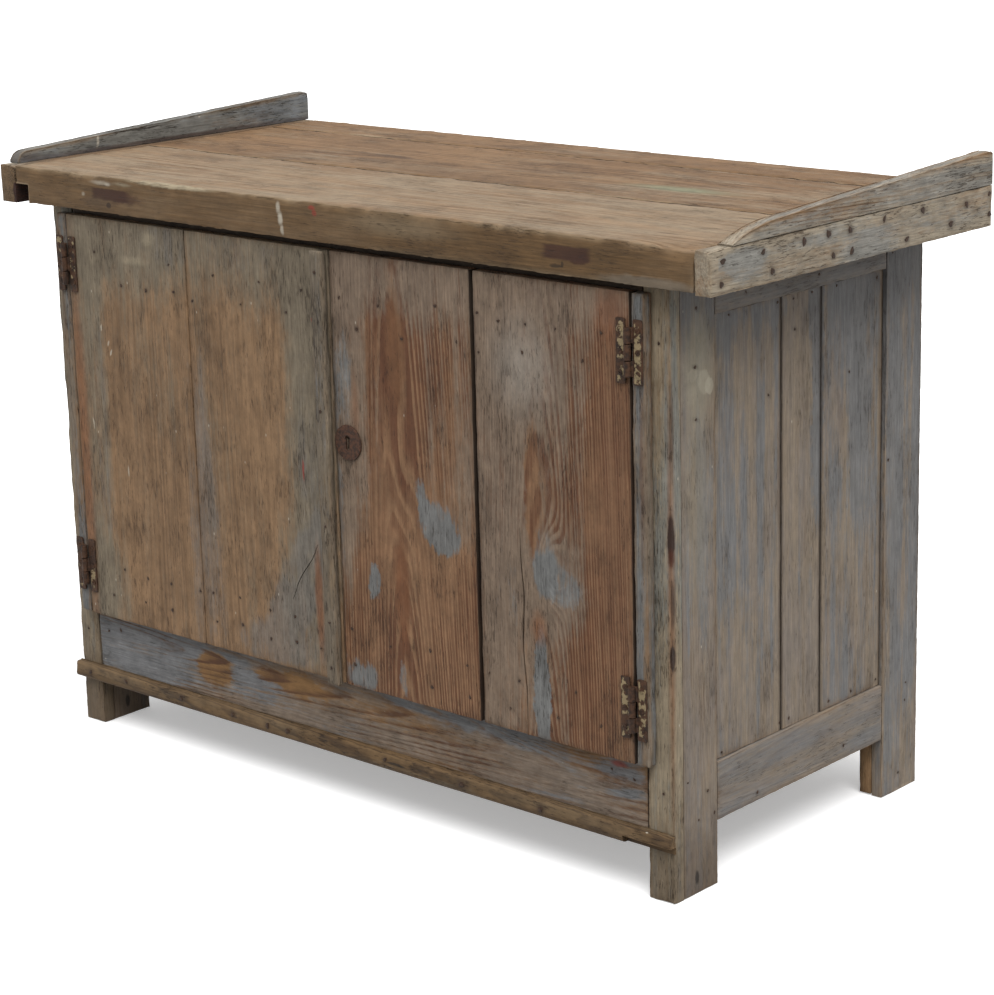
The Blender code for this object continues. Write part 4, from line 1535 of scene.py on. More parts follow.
@dataclass
class Carcass:
    """The body: legs, rails, sides, back, floor, shelf, hinge strips and the moulding along the base."""

    strip_paint: OldWood = OldWood(
        tone(124, 98, 72), PINE_DARK,
        (Film(tone(116, 107, 95), 0.7, 1.2, 1.8), Film(tone(104, 107, 108), 0.45, 1.4, 1.8, soft=0.25)),
        soot=0.9,
        tints=(Tint((0.529, 0.55), (0.003, 0.10), tone(92, 64, 48), 0.5, soft=0.8),),
    )
    stile_paint: OldWood = OldWood(
        tone(136, 118, 94), PINE_DARK,
        (Film(STILE_BEIGE, 0.72, 1.2, 2.2), Film(tone(116, 117, 112), 0.4, 1.4, 2.2, soft=0.25)),
        soot=0.9, uneven=0.8,
    )
    side_paint: OldWood = OldWood(
        tone(142, 124, 104), tone(104, 89, 75),
        (
            Film(SIDE_BEIGE, 0.85, 1.0, 1.8, 0.35, most=0.92),
            Film(tone(122, 114, 108), 0.5, 1.8, 1.8, soft=0.4, most=0.7),
            Film(BLUE_GREY, 0.3, 1.6, 2.4, soft=0.25, most=0.75, patches=(
                # Blue paint along the top of the sides; it is partly painted shade under the top's overhang.
                Patch((0.0, 0.745), (2.0, 0.05), 0.35, soft=0.8),
                Patch((0.225, 0.4), (0.045, 0.6), 0.3),
                Patch((0.036, 0.60), (0.012, 0.20), 0.8, soft=0.4),
                Patch((0.13, 0.68), (0.05, 0.10), 0.4, soft=0.7),
                Patch((0.125, 0.52), (0.02, 0.09), 0.5, soft=0.7),
                Patch((-0.10, 0.50), (0.05, 0.12), 0.25, soft=0.7),
                Patch((-0.02, 0.58), (0.02, 0.3), -0.4, soft=0.6),
            )),
        ),
        0.75, soot=0.6, fleck=0.2, uneven=0.5,
    )
    rail_paint: OldWood = OldWood(
        tone(134, 102, 66), tone(80, 54, 36),
        (Film(tone(119, 108, 97), 0.82, 1.0, 1.4, 0.3), Film(BLUE_GREY, 0.42, 1.4, 1.2, 0.4, 0.25)),
    )
    # Painted shade: near-black wood for the top rail in the dark gap above the doors, standing for the shadow
    # there and partly for grime.
    shaded: OldWood = OldWood(tone(60, 50, 41), tone(40, 32, 26))
    inside: OldWood = OldWood(BARE_LIGHT, BARE_DARK, (Film(STONE_GREY, 0.2, most=0.6),), fleck=0.05)
    moulding: OldWood = OldWood(
        tone(101, 80, 55), tone(60, 45, 31), (Film(GREY_GREEN, 0.05, 1.2, 1.6),),
        arris=EDGE_PALE, bared=0.25, soot=0.9,
        tints=(Tint((0.0805, 0.0965), (0.0016, 0.018), DIRT_AND_SHADE_DARK, 0.85, soft=0.3),),
    )

    side_grain: tuple[Grain, ...] = (
        Grain((-0.11, 1.2), (0.01, 0.0), 0.0062, 0.010, 1.2, (0.45, 0.8)),
        Grain((0.02, 1.2), (0.01, 0.0), 0.0050, 0.010, 0.8, (0.45, 0.8)),
        Grain((0.10, 0.62), (0.01, 0.02), 0.0050, 0.010, 0.4),
    )
    moulding_nails: Row = (-0.53, -0.45, -0.33, -0.222, -0.151, -0.111, 0.077, 0.216, 0.353)
    moulding_nail_level: float = 0.081
    stile_nail_x: float = 0.544
    stile_nail_levels: tuple[Pair, ...] = ((0.148, 0.01), (0.70, 0.02))
    rail_nails: Row = (-0.497, -0.47, 0.462, 0.498)
    rail_nail_level: float = 0.162
    broken_from: float = 0.487
    broken_height: float = 0.0115
    leg_gap: float = 0.0006
    leg_room_reach: float = 0.05
    board_nails: dict[float, Row] = field(default_factory=lambda: {
        0.720: (-0.150, -0.051, -0.018, 0.022, 0.075, 0.165),
        0.681: (-0.015,),
        0.606: (-0.070, 0.104),
        0.172: (-0.168, -0.046, -0.026, 0.062, 0.113, 0.171),
    })
    leg_nails: dict[float, Row] = field(default_factory=lambda: {
        0.745: (-0.220, -0.122, 0.03, 0.193),
        0.673: (-0.223,),
        0.605: (-0.222,),
        0.470: (0.188,),
        0.154: (-0.243, 0.236),
        0.128: (-0.203, 0.234),
        0.100: (-0.190, -0.222, -0.10, 0.09),
        0.024: (0.220,),
    })

    def build(self) -> list[Nail]:
        """Build the body.

        Returns:
            The nails that show on it.
        """
        nails = self.nails()
        self.legs(nails)
        self.sides(nails)
        self.front_frame(nails)
        self.hidden_boards()
        return nails

    def nails(self) -> list[Nail]:
        """Set the nails of the sides, the legs and the moulding.

        Returns:
            The nails.
        """
        nails = []
        for side in Side:
            x = side.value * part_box("side_board_right_1")[1].x
            for level, places in self.board_nails.items():
                nails += nail_row(side.face, level, x, places, 0.003, (0.0014, 0.0022))
            leg = side.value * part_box("front_post_right")[1].x
            for level, places in self.leg_nails.items():
                nails += nail_row(side.face, level, leg, places, 0.004, (0.0014, 0.0024))
        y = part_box("front_stile_right")[0].y
        for side in Side:
            for level, spread in self.stile_nail_levels:
                nails += nail_row(Face.FRONT, level, y, (side.value * self.stile_nail_x,), spread)
        nails += nail_row(Face.FRONT, self.rail_nail_level, y, self.rail_nails, 0.014)
        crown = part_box("base_moulding")[0].y + 0.0002
        level, places = self.moulding_nail_level, self.moulding_nails
        nails += nail_row(Face.FRONT, level, crown, places, 0.003, (0.0028, 0.0042), halo=2.6)
        return nails

    def legs(self, nails: list[Nail]) -> None:
        """Build the stiles and posts of the four legs.

        Args:
            nails: Nails whose rust stains the boards.
        """
        # Darker towards the bottom of the legs.
        darker_low = Tint((0.0, 0.0), (2.0, 0.09), OLD_BROWN, 0.55, soft=0.7)
        pale = (
            Tint((-0.222, 0.52), (0.020, 0.12), tone(146, 136, 118), 0.5, soft=0.8),
            Tint((-0.217, 0.67), (0.028, 0.06), tone(152, 145, 127), 0.6, soft=0.5),
            Tint((-0.206, 0.650), (0.011, 0.016), tone(168, 160, 142), 0.6, 20.0, 0.15),
            Tint((-0.196, 0.644), (0.008, 0.010), tone(176, 168, 150), 0.6, 0.0, 0.15),
            Tint((-0.228, 0.662), (0.010, 0.008), tone(168, 160, 142), 0.4, 0.0, 0.2),
            Tint((-0.226, 0.022), (0.004, 0.009), DIRT_AND_SHADE_DARK, 0.9),
        )
        post = replace(self.side_paint, tints=(darker_low, *pale))
        corner = (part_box("front_stile_right")[0].y, 0.007)
        gashes = (
            Tint((0.5585, 0.42), (0.0045, 0.22), BURNT_ORANGE, 0.5, soft=0.7, depth=corner),
            Tint((0.5590, 0.470), (0.0050, 0.030), tone(38, 22, 15), 0.97, soft=0.2, depth=corner),
            Tint((0.5590, 0.445), (0.0045, 0.012), tone(70, 36, 22), 0.8, soft=0.4, depth=corner),
            Tint((0.5600, 0.320), (0.0040, 0.017), tone(44, 28, 20), 0.95, soft=0.2, depth=corner),
            Tint((0.5595, 0.385), (0.0022, 0.030), RUST_STAIN, 0.7, depth=corner),
            Tint((0.5595, 0.600), (0.0018, 0.060), RUST_STAIN, 0.5, depth=corner),
            # Darker towards the bottom of the left stile.
            Tint((-0.54, 0.04), (0.05, 0.10), OLD_BROWN, 0.5, soft=0.8),
        )
        stile = replace(self.stile_paint, tints=(darker_low, *gashes))
        tight = {"step": 0.005, "nails": nails, "ease": 0.0005}
        for side in Side:
            Plank(f"front_post_{side.word}", post, Axis.Z, wear=0.0008, **tight).build()
            Plank(f"front_stile_{side.word}", stile, Axis.Z, wear=0.0028, worn=Face.FRONT, **tight).build()
            Plank(f"rear_side_stile_{side.word}", self.side_paint, Axis.Z, wear=0.0016, **tight).build()
            Plank(f"rear_post_{side.word}", self.inside, Axis.Z, step=0.008).build()

    def sides(self, nails: list[Nail]) -> None:
        """Build the boards and rails of both sides.

        Args:
            nails: Nails whose rust stains the boards.
        """
        for side in Side:
            for count, grain in enumerate(self.side_grain, 1):
                Plank(
                    f"side_board_{side.word}_{count}", self.side_paint, Axis.Z, grain, 0.005, 0.0004, 0.001,
                    nails=nails, seams=(Face.FRONT, Face.BACK),
                ).build()
            for level, cover in (("top", 0.75), ("bottom", 0.45)):
                films = (*self.side_paint.films[:2], Film(BLUE_GREY, cover, 1.2, 1.4, soft=0.4, most=0.7))
                calm = replace(self.side_paint, films=films, strand=0.5, uneven=0.35)
                name = f"side_{level}_rail_{side.word}"
                Plank(name, calm, Axis.Y, step=0.005, ease=0.0008, wear=0.0016, nails=nails).build()

    def front_frame(self, nails: list[Nail]) -> None:
        """Build the front rails, the hinge strips and the moulding.

        Args:
            nails: Nails whose rust stains the boards.
        """
        flames = (
            Patch((0.138, -0.268), (0.022, 0.034), -1.1, soft=0.45),
            Patch((0.150, -0.11), (0.016, 0.06), -0.7, soft=0.6),
            Patch((0.150, 0.10), (0.030, 0.20), -0.2, soft=0.8),
            Patch((0.165, 0.43), (0.016, 0.07), -0.35, soft=0.8),
        )
        red = (
            Tint((0.166, 0.474), (0.004, 0.012), RED_MARK, 0.7, soft=0.5),
            Tint((0.182, -0.46), (0.006, 0.05), MAROON, 0.6),
        )
        blue = (
            Patch((0.14, -0.42), (0.06, 0.15), 0.45, soft=0.5),
            Patch((0.13, -0.18), (0.02, 0.07), 0.5, soft=0.6),
            Patch((0.175, 0.16), (0.022, 0.12), 0.5, soft=0.5),
            Patch((0.12, 0.25), (0.03, 0.22), -0.2, soft=0.8),
            Patch((0.172, 0.36), (0.024, 0.10), 0.35, soft=0.6),
            Patch((0.15, 0.48), (0.03, 0.04), 0.4, soft=0.5),
        )
        haze, paint = self.rail_paint.films
        films = (replace(haze, patches=flames), replace(paint, patches=flames + blue))
        rail = replace(self.rail_paint, films=films, tints=red)
        arcs = Knot((0.190, 0.38), (0.030, 0.10), 0.04, 0.0)
        grain = Grain((0.158, -0.238), (0.0, -0.05), 0.0055, 0.012, 0.9, (0.3, 0.8), knots=(arcs,))
        Plank(
            "front_bottom_rail", rail, Axis.X, grain, step=0.004, nails=nails, seams=(Face.RIGHT, Face.LEFT)
        ).build()
        Plank("front_top_rail", self.shaded, Axis.X, step=0.008).build()
        for side in Side:
            Plank(f"hinge_strip_{side.word}", self.strip_paint, Axis.Z, step=0.004, wear=0.002).build()
        low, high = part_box("base_moulding")
        under = (self.broken_from, low.y - 0.01, low.z - 0.01)
        broken = block("broken_end", under, (high.x + 0.01, high.y - 0.001, low.z + self.broken_height))
        rub_away(broken, 0.004, 0.02)
        Moulding(
            "base_moulding", self.moulding, Axis.X, step=0.003, wear=0.003, nails=nails, tools=[broken]
        ).build()

    def hidden_boards(self) -> None:
        """Build the back, the floor and the shelf."""
        tight = {"step": 0.008, "ease": 0.001, "wear": 0.0005, "sag": 0.0001}
        for count in range(1, 4):
            Plank(f"back_board_{count}", self.inside, Axis.X, **tight).build()
        for count in range(1, 3):
            Plank(f"shelf_board_{count}", self.inside, Axis.X, step=0.009).build()
            Plank(f"floor_board_{count}", self.inside, Axis.X, step=0.009, tools=self.leg_room(count)).build()
        for side in Side:
            Plank(f"shelf_cleat_{side.word}", self.inside, Axis.Y, step=0.008).build()

    def leg_room(self, count: int) -> list[Thing]:
        """Model the room that a floor board leaves for the two legs beside it.

        Args:
            count: Number of the floor board, from the front.

        Returns:
            Shapes to cut out of it.
        """
        leg = "front_post" if count == 1 else "rear_post"
        room = []
        for side in Side:
            low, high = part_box(f"{leg}_{side.word}")
            gap = Vector((self.leg_gap, self.leg_gap, 0.0))
            reach = Vector((side.value * self.leg_room_reach, 0.0, 0.0))
            corners = [low - gap, high + gap, low - gap + reach, high + gap + reach]
            if count == 2:
                corners.append(high + Vector((0.0, self.leg_room_reach, 0.0)))
            else:
                corners.append(low - Vector((0.0, self.leg_room_reach, 0.0)))
            least = [min(corner[i] for corner in corners) for i in range(3)]
            most = [max(corner[i] for corner in corners) for i in range(3)]
            room.append(block("leg_room", least, most))
        return room


@dataclass
class Door:
    """A plank door: two boards, two ledges behind them and what is nailed to its face."""

    side: Side
    outer: OldWood
    inner: OldWood
    outer_grain: Grain
    inner_grain: Grain
    rows: dict[float, Row]
    ledge: OldWood = Carcass.inside
    outer_cracks: tuple[Crack, ...] = ()
    inner_cracks: tuple[Crack, ...] = ()
    inner_tools: list[Thing] = field(default_factory=list)
    ease: float = 0.0010
    wear: float = 0.0016
    seams: tuple[Face, ...] = ()

    def build(self) -> list[Nail]:
        """Build the door.

        Returns:
            The nails that show on it.
        """
        name = f"{self.side.word}_door"
        low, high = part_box(f"{name}_board_outer")
        face, skin = low.y, (low.y + high.y) / 2
        nails = []
        for level, places in self.rows.items():
            nails += nail_row(Face.FRONT, level, face, places, 0.006)
        both = {"step": 0.004, "ease": self.ease, "wear": self.wear, "nails": nails, "seams": self.seams}
        outer, inner = (replace(finish, skin=skin) for finish in (self.outer, self.inner))
        Plank(
            f"{name}_board_outer", outer, Axis.Z, self.outer_grain, cracks=self.outer_cracks, **both
        ).build()
        Plank(
            f"{name}_board_inner", inner, Axis.Z, self.inner_grain, cracks=self.inner_cracks,
            tools=self.inner_tools, **both,
        ).build()
        for level in ("top", "bottom"):
            Plank(f"{name}_ledge_{level}", self.ledge, Axis.X, step=0.007).build()
        return nails


@dataclass
class CoverStrip:
    """The strip on the left door that covers the gap between the doors."""

    finish: OldWood = OldWood(
        tone(128, 108, 84), tone(84, 68, 52),
        (Film(tone(108, 99, 86), 0.75, 1.4, 2.0), Film(BLUE_GREY, 0.12, 1.4, 2.0)),
        1.3, bared=0.3, soot=1.3,
    )
    nail_x: float = -0.002
    nail_levels: Row = (0.73, 0.56, 0.40, 0.27, 0.20)

    def build(self) -> list[Nail]:
        """Build the strip.

        Returns:
            The nails that show on it.
        """
        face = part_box("cover_strip")[0].y
        nails = []
        for z in self.nail_levels:
            nails += nail_row(Face.FRONT, z, face, (self.nail_x,), 0.01, sink=0.0007)
        Plank("cover_strip", self.finish, Axis.Z, step=0.003, wear=0.002, nails=nails, inset=0.0007).build()
        return nails


@dataclass
class Lock:
    """The lock: plate with keyhole, box behind the door and its sliding bolt."""

    plate: OldIron = OldIron(tone(46, 33, 26), tone(86, 58, 43))
    case: OldIron = OldIron()
    middle: Point = (0.038, 0.0, 0.516)
    slot_width: float = 0.006
    hole_height: float = 0.019
    round_radius: float = 0.004
    pin_circle: float = 0.0195
    pin_radius: float = 0.0016
    rim: float = 0.0013
    skin: float = 0.0006
    pits: float = 0.0005

    def keyhole(self) -> Thing:
        """Model the keyhole as a solid to cut with.

        Returns:
            The solid.
        """
        x, _, z = self.middle
        near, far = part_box("escutcheon")[0].y - 0.01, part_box("right_door_board_inner")[1].y + 0.01
        round_z = z + self.hole_height / 2 - self.round_radius
        made = rod("keyhole", self.round_radius, far - near, (x, (near + far) / 2, round_z), Axis.Y)
        low = (x - self.slot_width / 2, near, z - self.hole_height / 2)
        carve(made, block("slot", low, (x + self.slot_width / 2, far, round_z)), "UNION")
        return made

    def build(self) -> None:
        """Build the plate and dress the box and bolt."""
        low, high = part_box("escutcheon")
        middle = (low + high) / 2
        made = rod("worn_escutcheon", (high.x - low.x) / 2, high.y - low.y, middle, Axis.Y, 72)
        bpy.ops.object.mode_set(mode="EDIT")
        pick_faces(made, Face.FRONT)
        bpy.ops.mesh.bevel(offset=self.rim, segments=3, affect="EDGES")
        bpy.ops.object.mode_set(mode="OBJECT")
        carve(made, self.keyhole())
        cast(made, self.skin, self.pits)
        paint_with(made, self.plate.material("escutcheon_rust", 3.0))
        Parts.stand_for(made, "escutcheon")
        iron = self.case.material("lock_iron", 9.0)
        for node in ("lock_case", "lock_bolt"):
            Parts.dress(node, iron)

    def pins(self) -> list[Nail]:
        """Set the four pins that hold the plate.

        Returns:
            The pins.
        """
        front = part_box("escutcheon")[0].y
        x, _, z = self.middle
        nails = []
        for quarter in range(4):
            angle = math.radians(45 + 90 * quarter)
            at = (x + self.pin_circle * math.cos(angle), front, z + self.pin_circle * math.sin(angle))
            nails.append(Nail(at, Face.FRONT, self.pin_radius, 0.0))
        return nails


@dataclass
class Hinges:
    """Four surface hinges, each a frame leaf with its pin and a door leaf, modelled once and copied."""

    axis: Point = (0.5142, -0.29355, 0.0)
    levels: tuple[tuple[str, float], ...] = (("upper", 0.6965), ("lower", 0.252))
    near: float = 0.0056
    far: float = 0.0205
    back: float = 0.0050
    thickness: float = 0.0025
    half_height: float = 0.040
    barrel_radius: float = 0.005
    half_barrel: float = 0.030
    half_knuckle: float = 0.010
    gap: float = 0.0004
    screw_x: float = 0.0135
    screw_spread: float = 0.026
    screw_radius: float = 0.0036
    screw_height: float = 0.0024
    screw_sink: float = 0.0006
    slot_half: float = 0.0004
    left_loss: float = 0.05
    corner: float = 0.0022
    skin: float = 0.0007
    pits: float = 0.0007
    bare_reach: float = 0.003
    # The deep rust is made as dark as the shaded knuckle, so it is partly painted shade.
    iron: OldIron = OldIron(tone(38, 26, 19), tone(76, 52, 36), tone(142, 126, 97), 0.0, 130.0)

    def build(self) -> None:
        """Model both leaves and set all eight down."""
        screw = self.screw()
        long = (self.half_knuckle + self.gap, self.half_barrel)
        short = (-self.half_knuckle, self.half_knuckle)
        leaves = {
            "frame": self.leaf(1, (long, (-long[1], -long[0])), screw),
            "door": self.leaf(-1, (short,), screw),
        }
        for side in Side:
            flip = Matrix.Rotation(0.0 if side is Side.RIGHT else math.pi, 4, "Y")
            loss = self.left_loss if side is Side.LEFT else 0.0
            iron = replace(self.iron, cover=self.iron.cover - loss)
            for level, z in self.levels:
                place = Matrix.Translation((side.value * self.axis[0], self.axis[1], z)) @ flip
                for kind, pattern in leaves.items():
                    node = f"hinge_{side.word}_{level}_{kind}_leaf"
                    made = copy_of(pattern, f"worn_{node}", place)
                    paint_with(made, iron.material(f"{node}_rust", side.value * 3.0 + z))
                    Parts.stand_for(made, node)
        for pattern in (screw, *leaves.values()):
            bpy.data.objects.remove(pattern, do_unlink=True)

    def leaf(self, way: int, knuckles: tuple[Pair, ...], screw: Thing) -> Thing:
        """Model one leaf about the pin at the origin.

        Args:
            way: 1 for a leaf to the right of the pin, -1 to the left.
            knuckles: Lowest and highest point of each knuckle.
            screw: Pattern of the screw heads.

        Returns:
            The leaf.
        """
        front = self.back - self.thickness
        ends = sorted((way * self.near, way * self.far))
        pieces = [block("plate", (ends[0], front, -self.half_height), (ends[1], self.back, self.half_height))]
        bpy.ops.object.mode_set(mode="EDIT")
        pick_edges(pieces[0], Axis.Y)
        bpy.ops.mesh.bevel(offset=self.corner, segments=3, affect="EDGES")
        bpy.ops.object.mode_set(mode="OBJECT")
        for low, high in knuckles:
            middle = (0.0, 0.0, (low + high) / 2)
            pieces.append(rod("knuckle", self.barrel_radius, high - low, middle, Axis.Z, 28))
            web = sorted((0.0, way * (self.near + 0.001)))
            pieces.append(block("web", (web[0], front, low), (web[1], self.back, high)))
        if len(knuckles) > 1:
            length = 2 * self.half_barrel
            pieces.append(rod("pin", self.barrel_radius / 2, length, (0.0, 0.0, 0.0), Axis.Z, 16))
        made = join(pieces, "leaf")
        cast(made, self.skin, self.pits)
        points = points_of(made)
        # Bare iron on and near the knuckle, where paint has worn off; its dark rust is partly painted shade
        # round the barrel. The rim wears bare a little.
        away = np.hypot(points[:, 0], points[:, 1])
        rim = np.maximum(np.abs(points[:, 0]) - self.far, np.abs(points[:, 2]) - self.half_height)
        bare = np.clip(1.0 - (away - self.near) / self.bare_reach, 0.0, 1.0)
        bare += 0.2 * np.clip(1.0 + rim / self.bare_reach, 0.0, 1.0)
        set_attribute(made, "bare", bare)
        heads = []
        rng = random.Random(way)
        for z in (-self.screw_spread, 0.0, self.screw_spread):
            spin = Matrix.Rotation(rng.uniform(0.0, math.pi), 4, "Y")
            heads.append(copy_of(screw, "screw", Matrix.Translation((way * self.screw_x, front, z)) @ spin))
        return join([made, *heads], "leaf")

    def screw(self) -> Thing:
        """Model a slotted screw head that looks out along -Y.

        Returns:
            The head.
        """
        middle = (0.0, self.screw_sink, 0.0)
        made = rod("screw_pattern", self.screw_radius, self.screw_height, middle, Axis.Y, 20)
        bpy.ops.object.mode_set(mode="EDIT")
        pick_faces(made, Face.FRONT)
        bpy.ops.mesh.inset(thickness=0.0009, depth=0.0003)
        bpy.ops.object.mode_set(mode="OBJECT")
        carve(made, block("slot", (-0.006, -0.003, -self.slot_half), (0.006, -0.0002, self.slot_half)))
        bpy.ops.object.shade_smooth_by_angle(angle=math.radians(40))
        set_attribute(made, "bare", np.full(len(made.data.vertices), 0.1))
        return made


@dataclass
class TurnButton:
    """The wooden turn button that holds the left door."""

    finish: OldWood = Carcass.inside
    rounding: float = 0.49
    skin: float = 0.0011
    pits: float = 0.0006

    def build(self) -> None:
        """Model the rounded button."""
        low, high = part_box("turn_button")
        made = block("worn_turn_button", low, high)
        bpy.ops.object.mode_set(mode="EDIT")
        pick_edges(made, Axis.Y)
        bpy.ops.mesh.bevel(offset=self.rounding * (high.z - low.z), segments=8, affect="EDGES")
        bpy.ops.object.mode_set(mode="OBJECT")
        cast(made, self.skin, self.pits)
        middle = (low + high) / 2
        grain = Grain((middle.z, middle.y + 0.03))
        paint_with(made, self.finish.material("turn_button_finish", grain, Axis.X, Axis.Y, 5.0))
        Parts.stand_for(made, "turn_button")


@dataclass
class Studio:
    """White floor, soft daylight and the camera."""

    eye: Point = (2.48764772, -2.69462401, 1.36500553)
    right: Point = (0.75576585, 0.65449944, -0.02117693)
    up: Point = (-0.15310248, 0.20804883, 0.96606176)
    forward: Point = (-0.63669272, 0.72687424, -0.25744169)
    lens: float = 97.79
    shift: Pair = (-0.0503, -0.01256)
    sky: float = 0.58
    sun: float = 3.1
    sun_from: Point = (0.40, -0.36, 0.84)
    sun_softness: float = 42.0
    floor_seen: Colour = (0.93, 0.93, 0.93)
    floor_bounce: Colour = (0.22, 0.215, 0.21)
    floor_glow: float = 0.34
    floor_size: float = 90.0
    floor_level: float = -0.0005
    far: float = 200.0

    def build(self) -> None:
        """Set up floor, light and camera."""
        self.floor()
        self.world()
        self.daylight()
        self.camera()
        bpy.context.scene.view_settings.view_transform = "Standard"

    def seen_directly(self, tree: bpy.types.NodeTree) -> Socket:
        """Tell the camera's rays, also those through glass and off metal, from others.

        Args:
            tree: Nodes of a material or a world.

        Returns:
            1 for such rays, 0 for others.
        """
        path = tree.nodes.new("ShaderNodeLightPath")
        seen = path.outputs["Is Camera Ray"]
        for name in ("Is Glossy Ray", "Is Transmission Ray"):
            either = tree.nodes.new("ShaderNodeMath")
            either.operation = "MAXIMUM"
            tree.links.new(seen, either.inputs[0])
            tree.links.new(path.outputs[name], either.inputs[1])
            seen = either.outputs[0]
        return seen

    def floor(self) -> None:
        """Lay a pale floor."""
        bpy.ops.mesh.primitive_plane_add(size=self.floor_size, location=(0.0, 0.0, self.floor_level))
        made = bpy.context.object
        made.name = "studio_floor"
        apply_place(made)
        mix = Recipe("studio_floor_paint")
        seen = self.seen_directly(mix.tree)
        mix.plug({
            "Base Color": mix.mix(seen, self.floor_bounce, self.floor_seen),
            "Emission Color": (1.0, 1.0, 1.0),
            "Emission Strength": mix.scaled(seen, self.floor_glow),
            "Roughness": 0.9,
            "Specular IOR Level": 0.0,
        })
        paint_with(made, mix.material)

    def world(self) -> None:
        """Light the room evenly, and show white behind the floor."""
        world = bpy.data.worlds.new("studio_sky")
        bpy.context.scene.world = world
        world.use_nodes = True
        tree = world.node_tree
        strength = tree.nodes.new("ShaderNodeMapRange")
        tree.links.new(self.seen_directly(tree), strength.inputs["Value"])
        strength.inputs["To Min"].default_value = self.sky
        strength.inputs["To Max"].default_value = 1.0
        backdrop = tree.nodes["Background"]
        backdrop.inputs["Color"].default_value = (1.0, 1.0, 1.0, 1.0)
        tree.links.new(strength.outputs[0], backdrop.inputs["Strength"])

    def daylight(self) -> None:
        """Add one broad soft light from above, on the camera's side."""
        lamp = bpy.data.lights.new("soft_key", "SUN")
        lamp.energy = self.sun
        lamp.angle = math.radians(self.sun_softness)
        made = bpy.data.objects.new("soft_key", lamp)
        made.rotation_euler = Vector(self.sun_from).to_track_quat("Z", "Y").to_euler()
        bpy.context.scene.collection.objects.link(made)

    def camera(self) -> None:
        """Stand the camera where the cabinet is seen from its right front."""
        lens = bpy.data.cameras.new("studio_camera")
        lens.lens = self.lens
        lens.shift_x, lens.shift_y = self.shift
        lens.clip_end = self.far
        made = bpy.data.objects.new("studio_camera", lens)
        axes = Matrix((self.right, self.up, -Vector(self.forward))).transposed().to_4x4()
        made.matrix_world = Matrix.Translation(self.eye) @ axes
        bpy.context.scene.collection.objects.link(made)
        bpy.context.scene.camera = made


def left_door() -> Door:
    """Describe the left door: brown middle, grey top and edges, a slanting patch of paint low down.

    Returns:
        The door.
    """
    haze = Film(GREY_GREEN, 0.18, 1.1, 1.3, soft=0.4, most=0.85)
    blue = Film(tone(110, 107, 103), -0.05, 1.1, 1.2, soft=0.3, most=0.6)
    base = OldWood(PINE_LIGHT, PINE_DARK, fleck=0.6, soot=0.8)
    outer_haze = replace(haze, patches=(
        Patch((-0.39, 0.77), (0.18, 0.10), 0.6),
        Patch((-0.475, 0.50), (0.03, 0.34), 0.5),
        Patch((-0.47, 0.22), (0.05, 0.08), 0.4),
    ))
    outer_blue = replace(blue, patches=(
        Patch((-0.262, 0.38), (0.022, 0.26), 0.6, soft=0.6),
        Patch((-0.46, 0.46), (0.014, 0.20), 0.5),
        Patch((-0.29, 0.75), (0.08, 0.04), 0.5),
    ))
    inner_haze = replace(haze, patches=(
        Patch((-0.13, 0.78), (0.19, 0.10), 0.6),
        Patch((-0.03, 0.56), (0.050, 0.26), 0.8),
        Patch((-0.05, 0.28), (0.06, 0.14), 0.5),
    ))
    inner_blue = replace(blue, patches=(
        Patch((-0.246, 0.36), (0.030, 0.22), 0.65, soft=0.6),
        Patch((-0.070, 0.24), (0.075, 0.060), 0.6, soft=0.4),
        Patch((-0.055, 0.32), (0.040, 0.11), 0.7, -32.0, 0.3),
        Patch((-0.135, 0.205), (0.060, 0.035), 0.6, soft=0.4),
        Patch((-0.18, 0.75), (0.08, 0.04), 0.45),
        Patch((-0.035, 0.50), (0.025, 0.12), 0.5),
    ))
    tints = (
        Tint((-0.031, 0.285), (0.007, 0.07), BURNT_ORANGE, 0.75, soft=0.5),
        Tint((-0.051, 0.465), (0.0018, 0.014), RED_MARK, 0.8),
        Tint((-0.020, 0.672), (0.003, 0.004), RED_MARK, 0.8),
    )
    edge = (
        Tint((-0.502, 0.42), (0.010, 0.26), BURNT_ORANGE, 0.65, soft=0.6),
        Tint((-0.450, 0.611), (0.0016, 0.005), WHITE_FLECK, 0.6, -10.0),
        Tint((-0.437, 0.590), (0.0013, 0.0045), WHITE_FLECK, 0.55, -20.0),
        Tint((-0.432, 0.577), (0.0016, 0.005), WHITE_FLECK, 0.7, -20.0),
        Tint((-0.480, 0.468), (0.0013, 0.008), WHITE_FLECK, 0.6, 6.0),
        Tint((-0.410, 0.408), (0.0013, 0.008), WHITE_FLECK, 0.6, 4.0),
        Tint((-0.340, 0.748), (0.014, 0.008), CREAM, 0.5, 20.0, 0.8),
        Tint((-0.372, 0.714), (0.022, 0.005), CREAM, 0.45, 0.0, 0.8),
    )
    rows = {
        0.714: (-0.455, -0.299, -0.210, -0.12, -0.04),
        0.674: (-0.401, -0.349, -0.292, -0.254, -0.158, -0.07),
        0.257: (-0.432, -0.382, -0.332, -0.271, -0.244, -0.189, -0.129, -0.080),
        0.217: (-0.46, -0.39, -0.333, -0.239, -0.186, -0.130, -0.079, -0.032),
    }
    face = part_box("left_door_board_inner")[0].y
    slant = Crack((-0.030, face, 0.365), (-0.082, face, 0.280), Face.FRONT, 0.0006, 0.002, 0.006)
    return Door(
        Side.LEFT,
        replace(base, films=(outer_haze, outer_blue), tints=edge),
        replace(base, films=(inner_haze, inner_blue), tints=tints),
        Grain((-0.40, -0.17), (0.03, 0.03), 0.0042, 0.012, 0.3),
        Grain((-0.13, -0.16), (-0.02, 0.03), 0.0042, 0.012, 0.3),
        rows,
        inner_cracks=(slant,),
    )


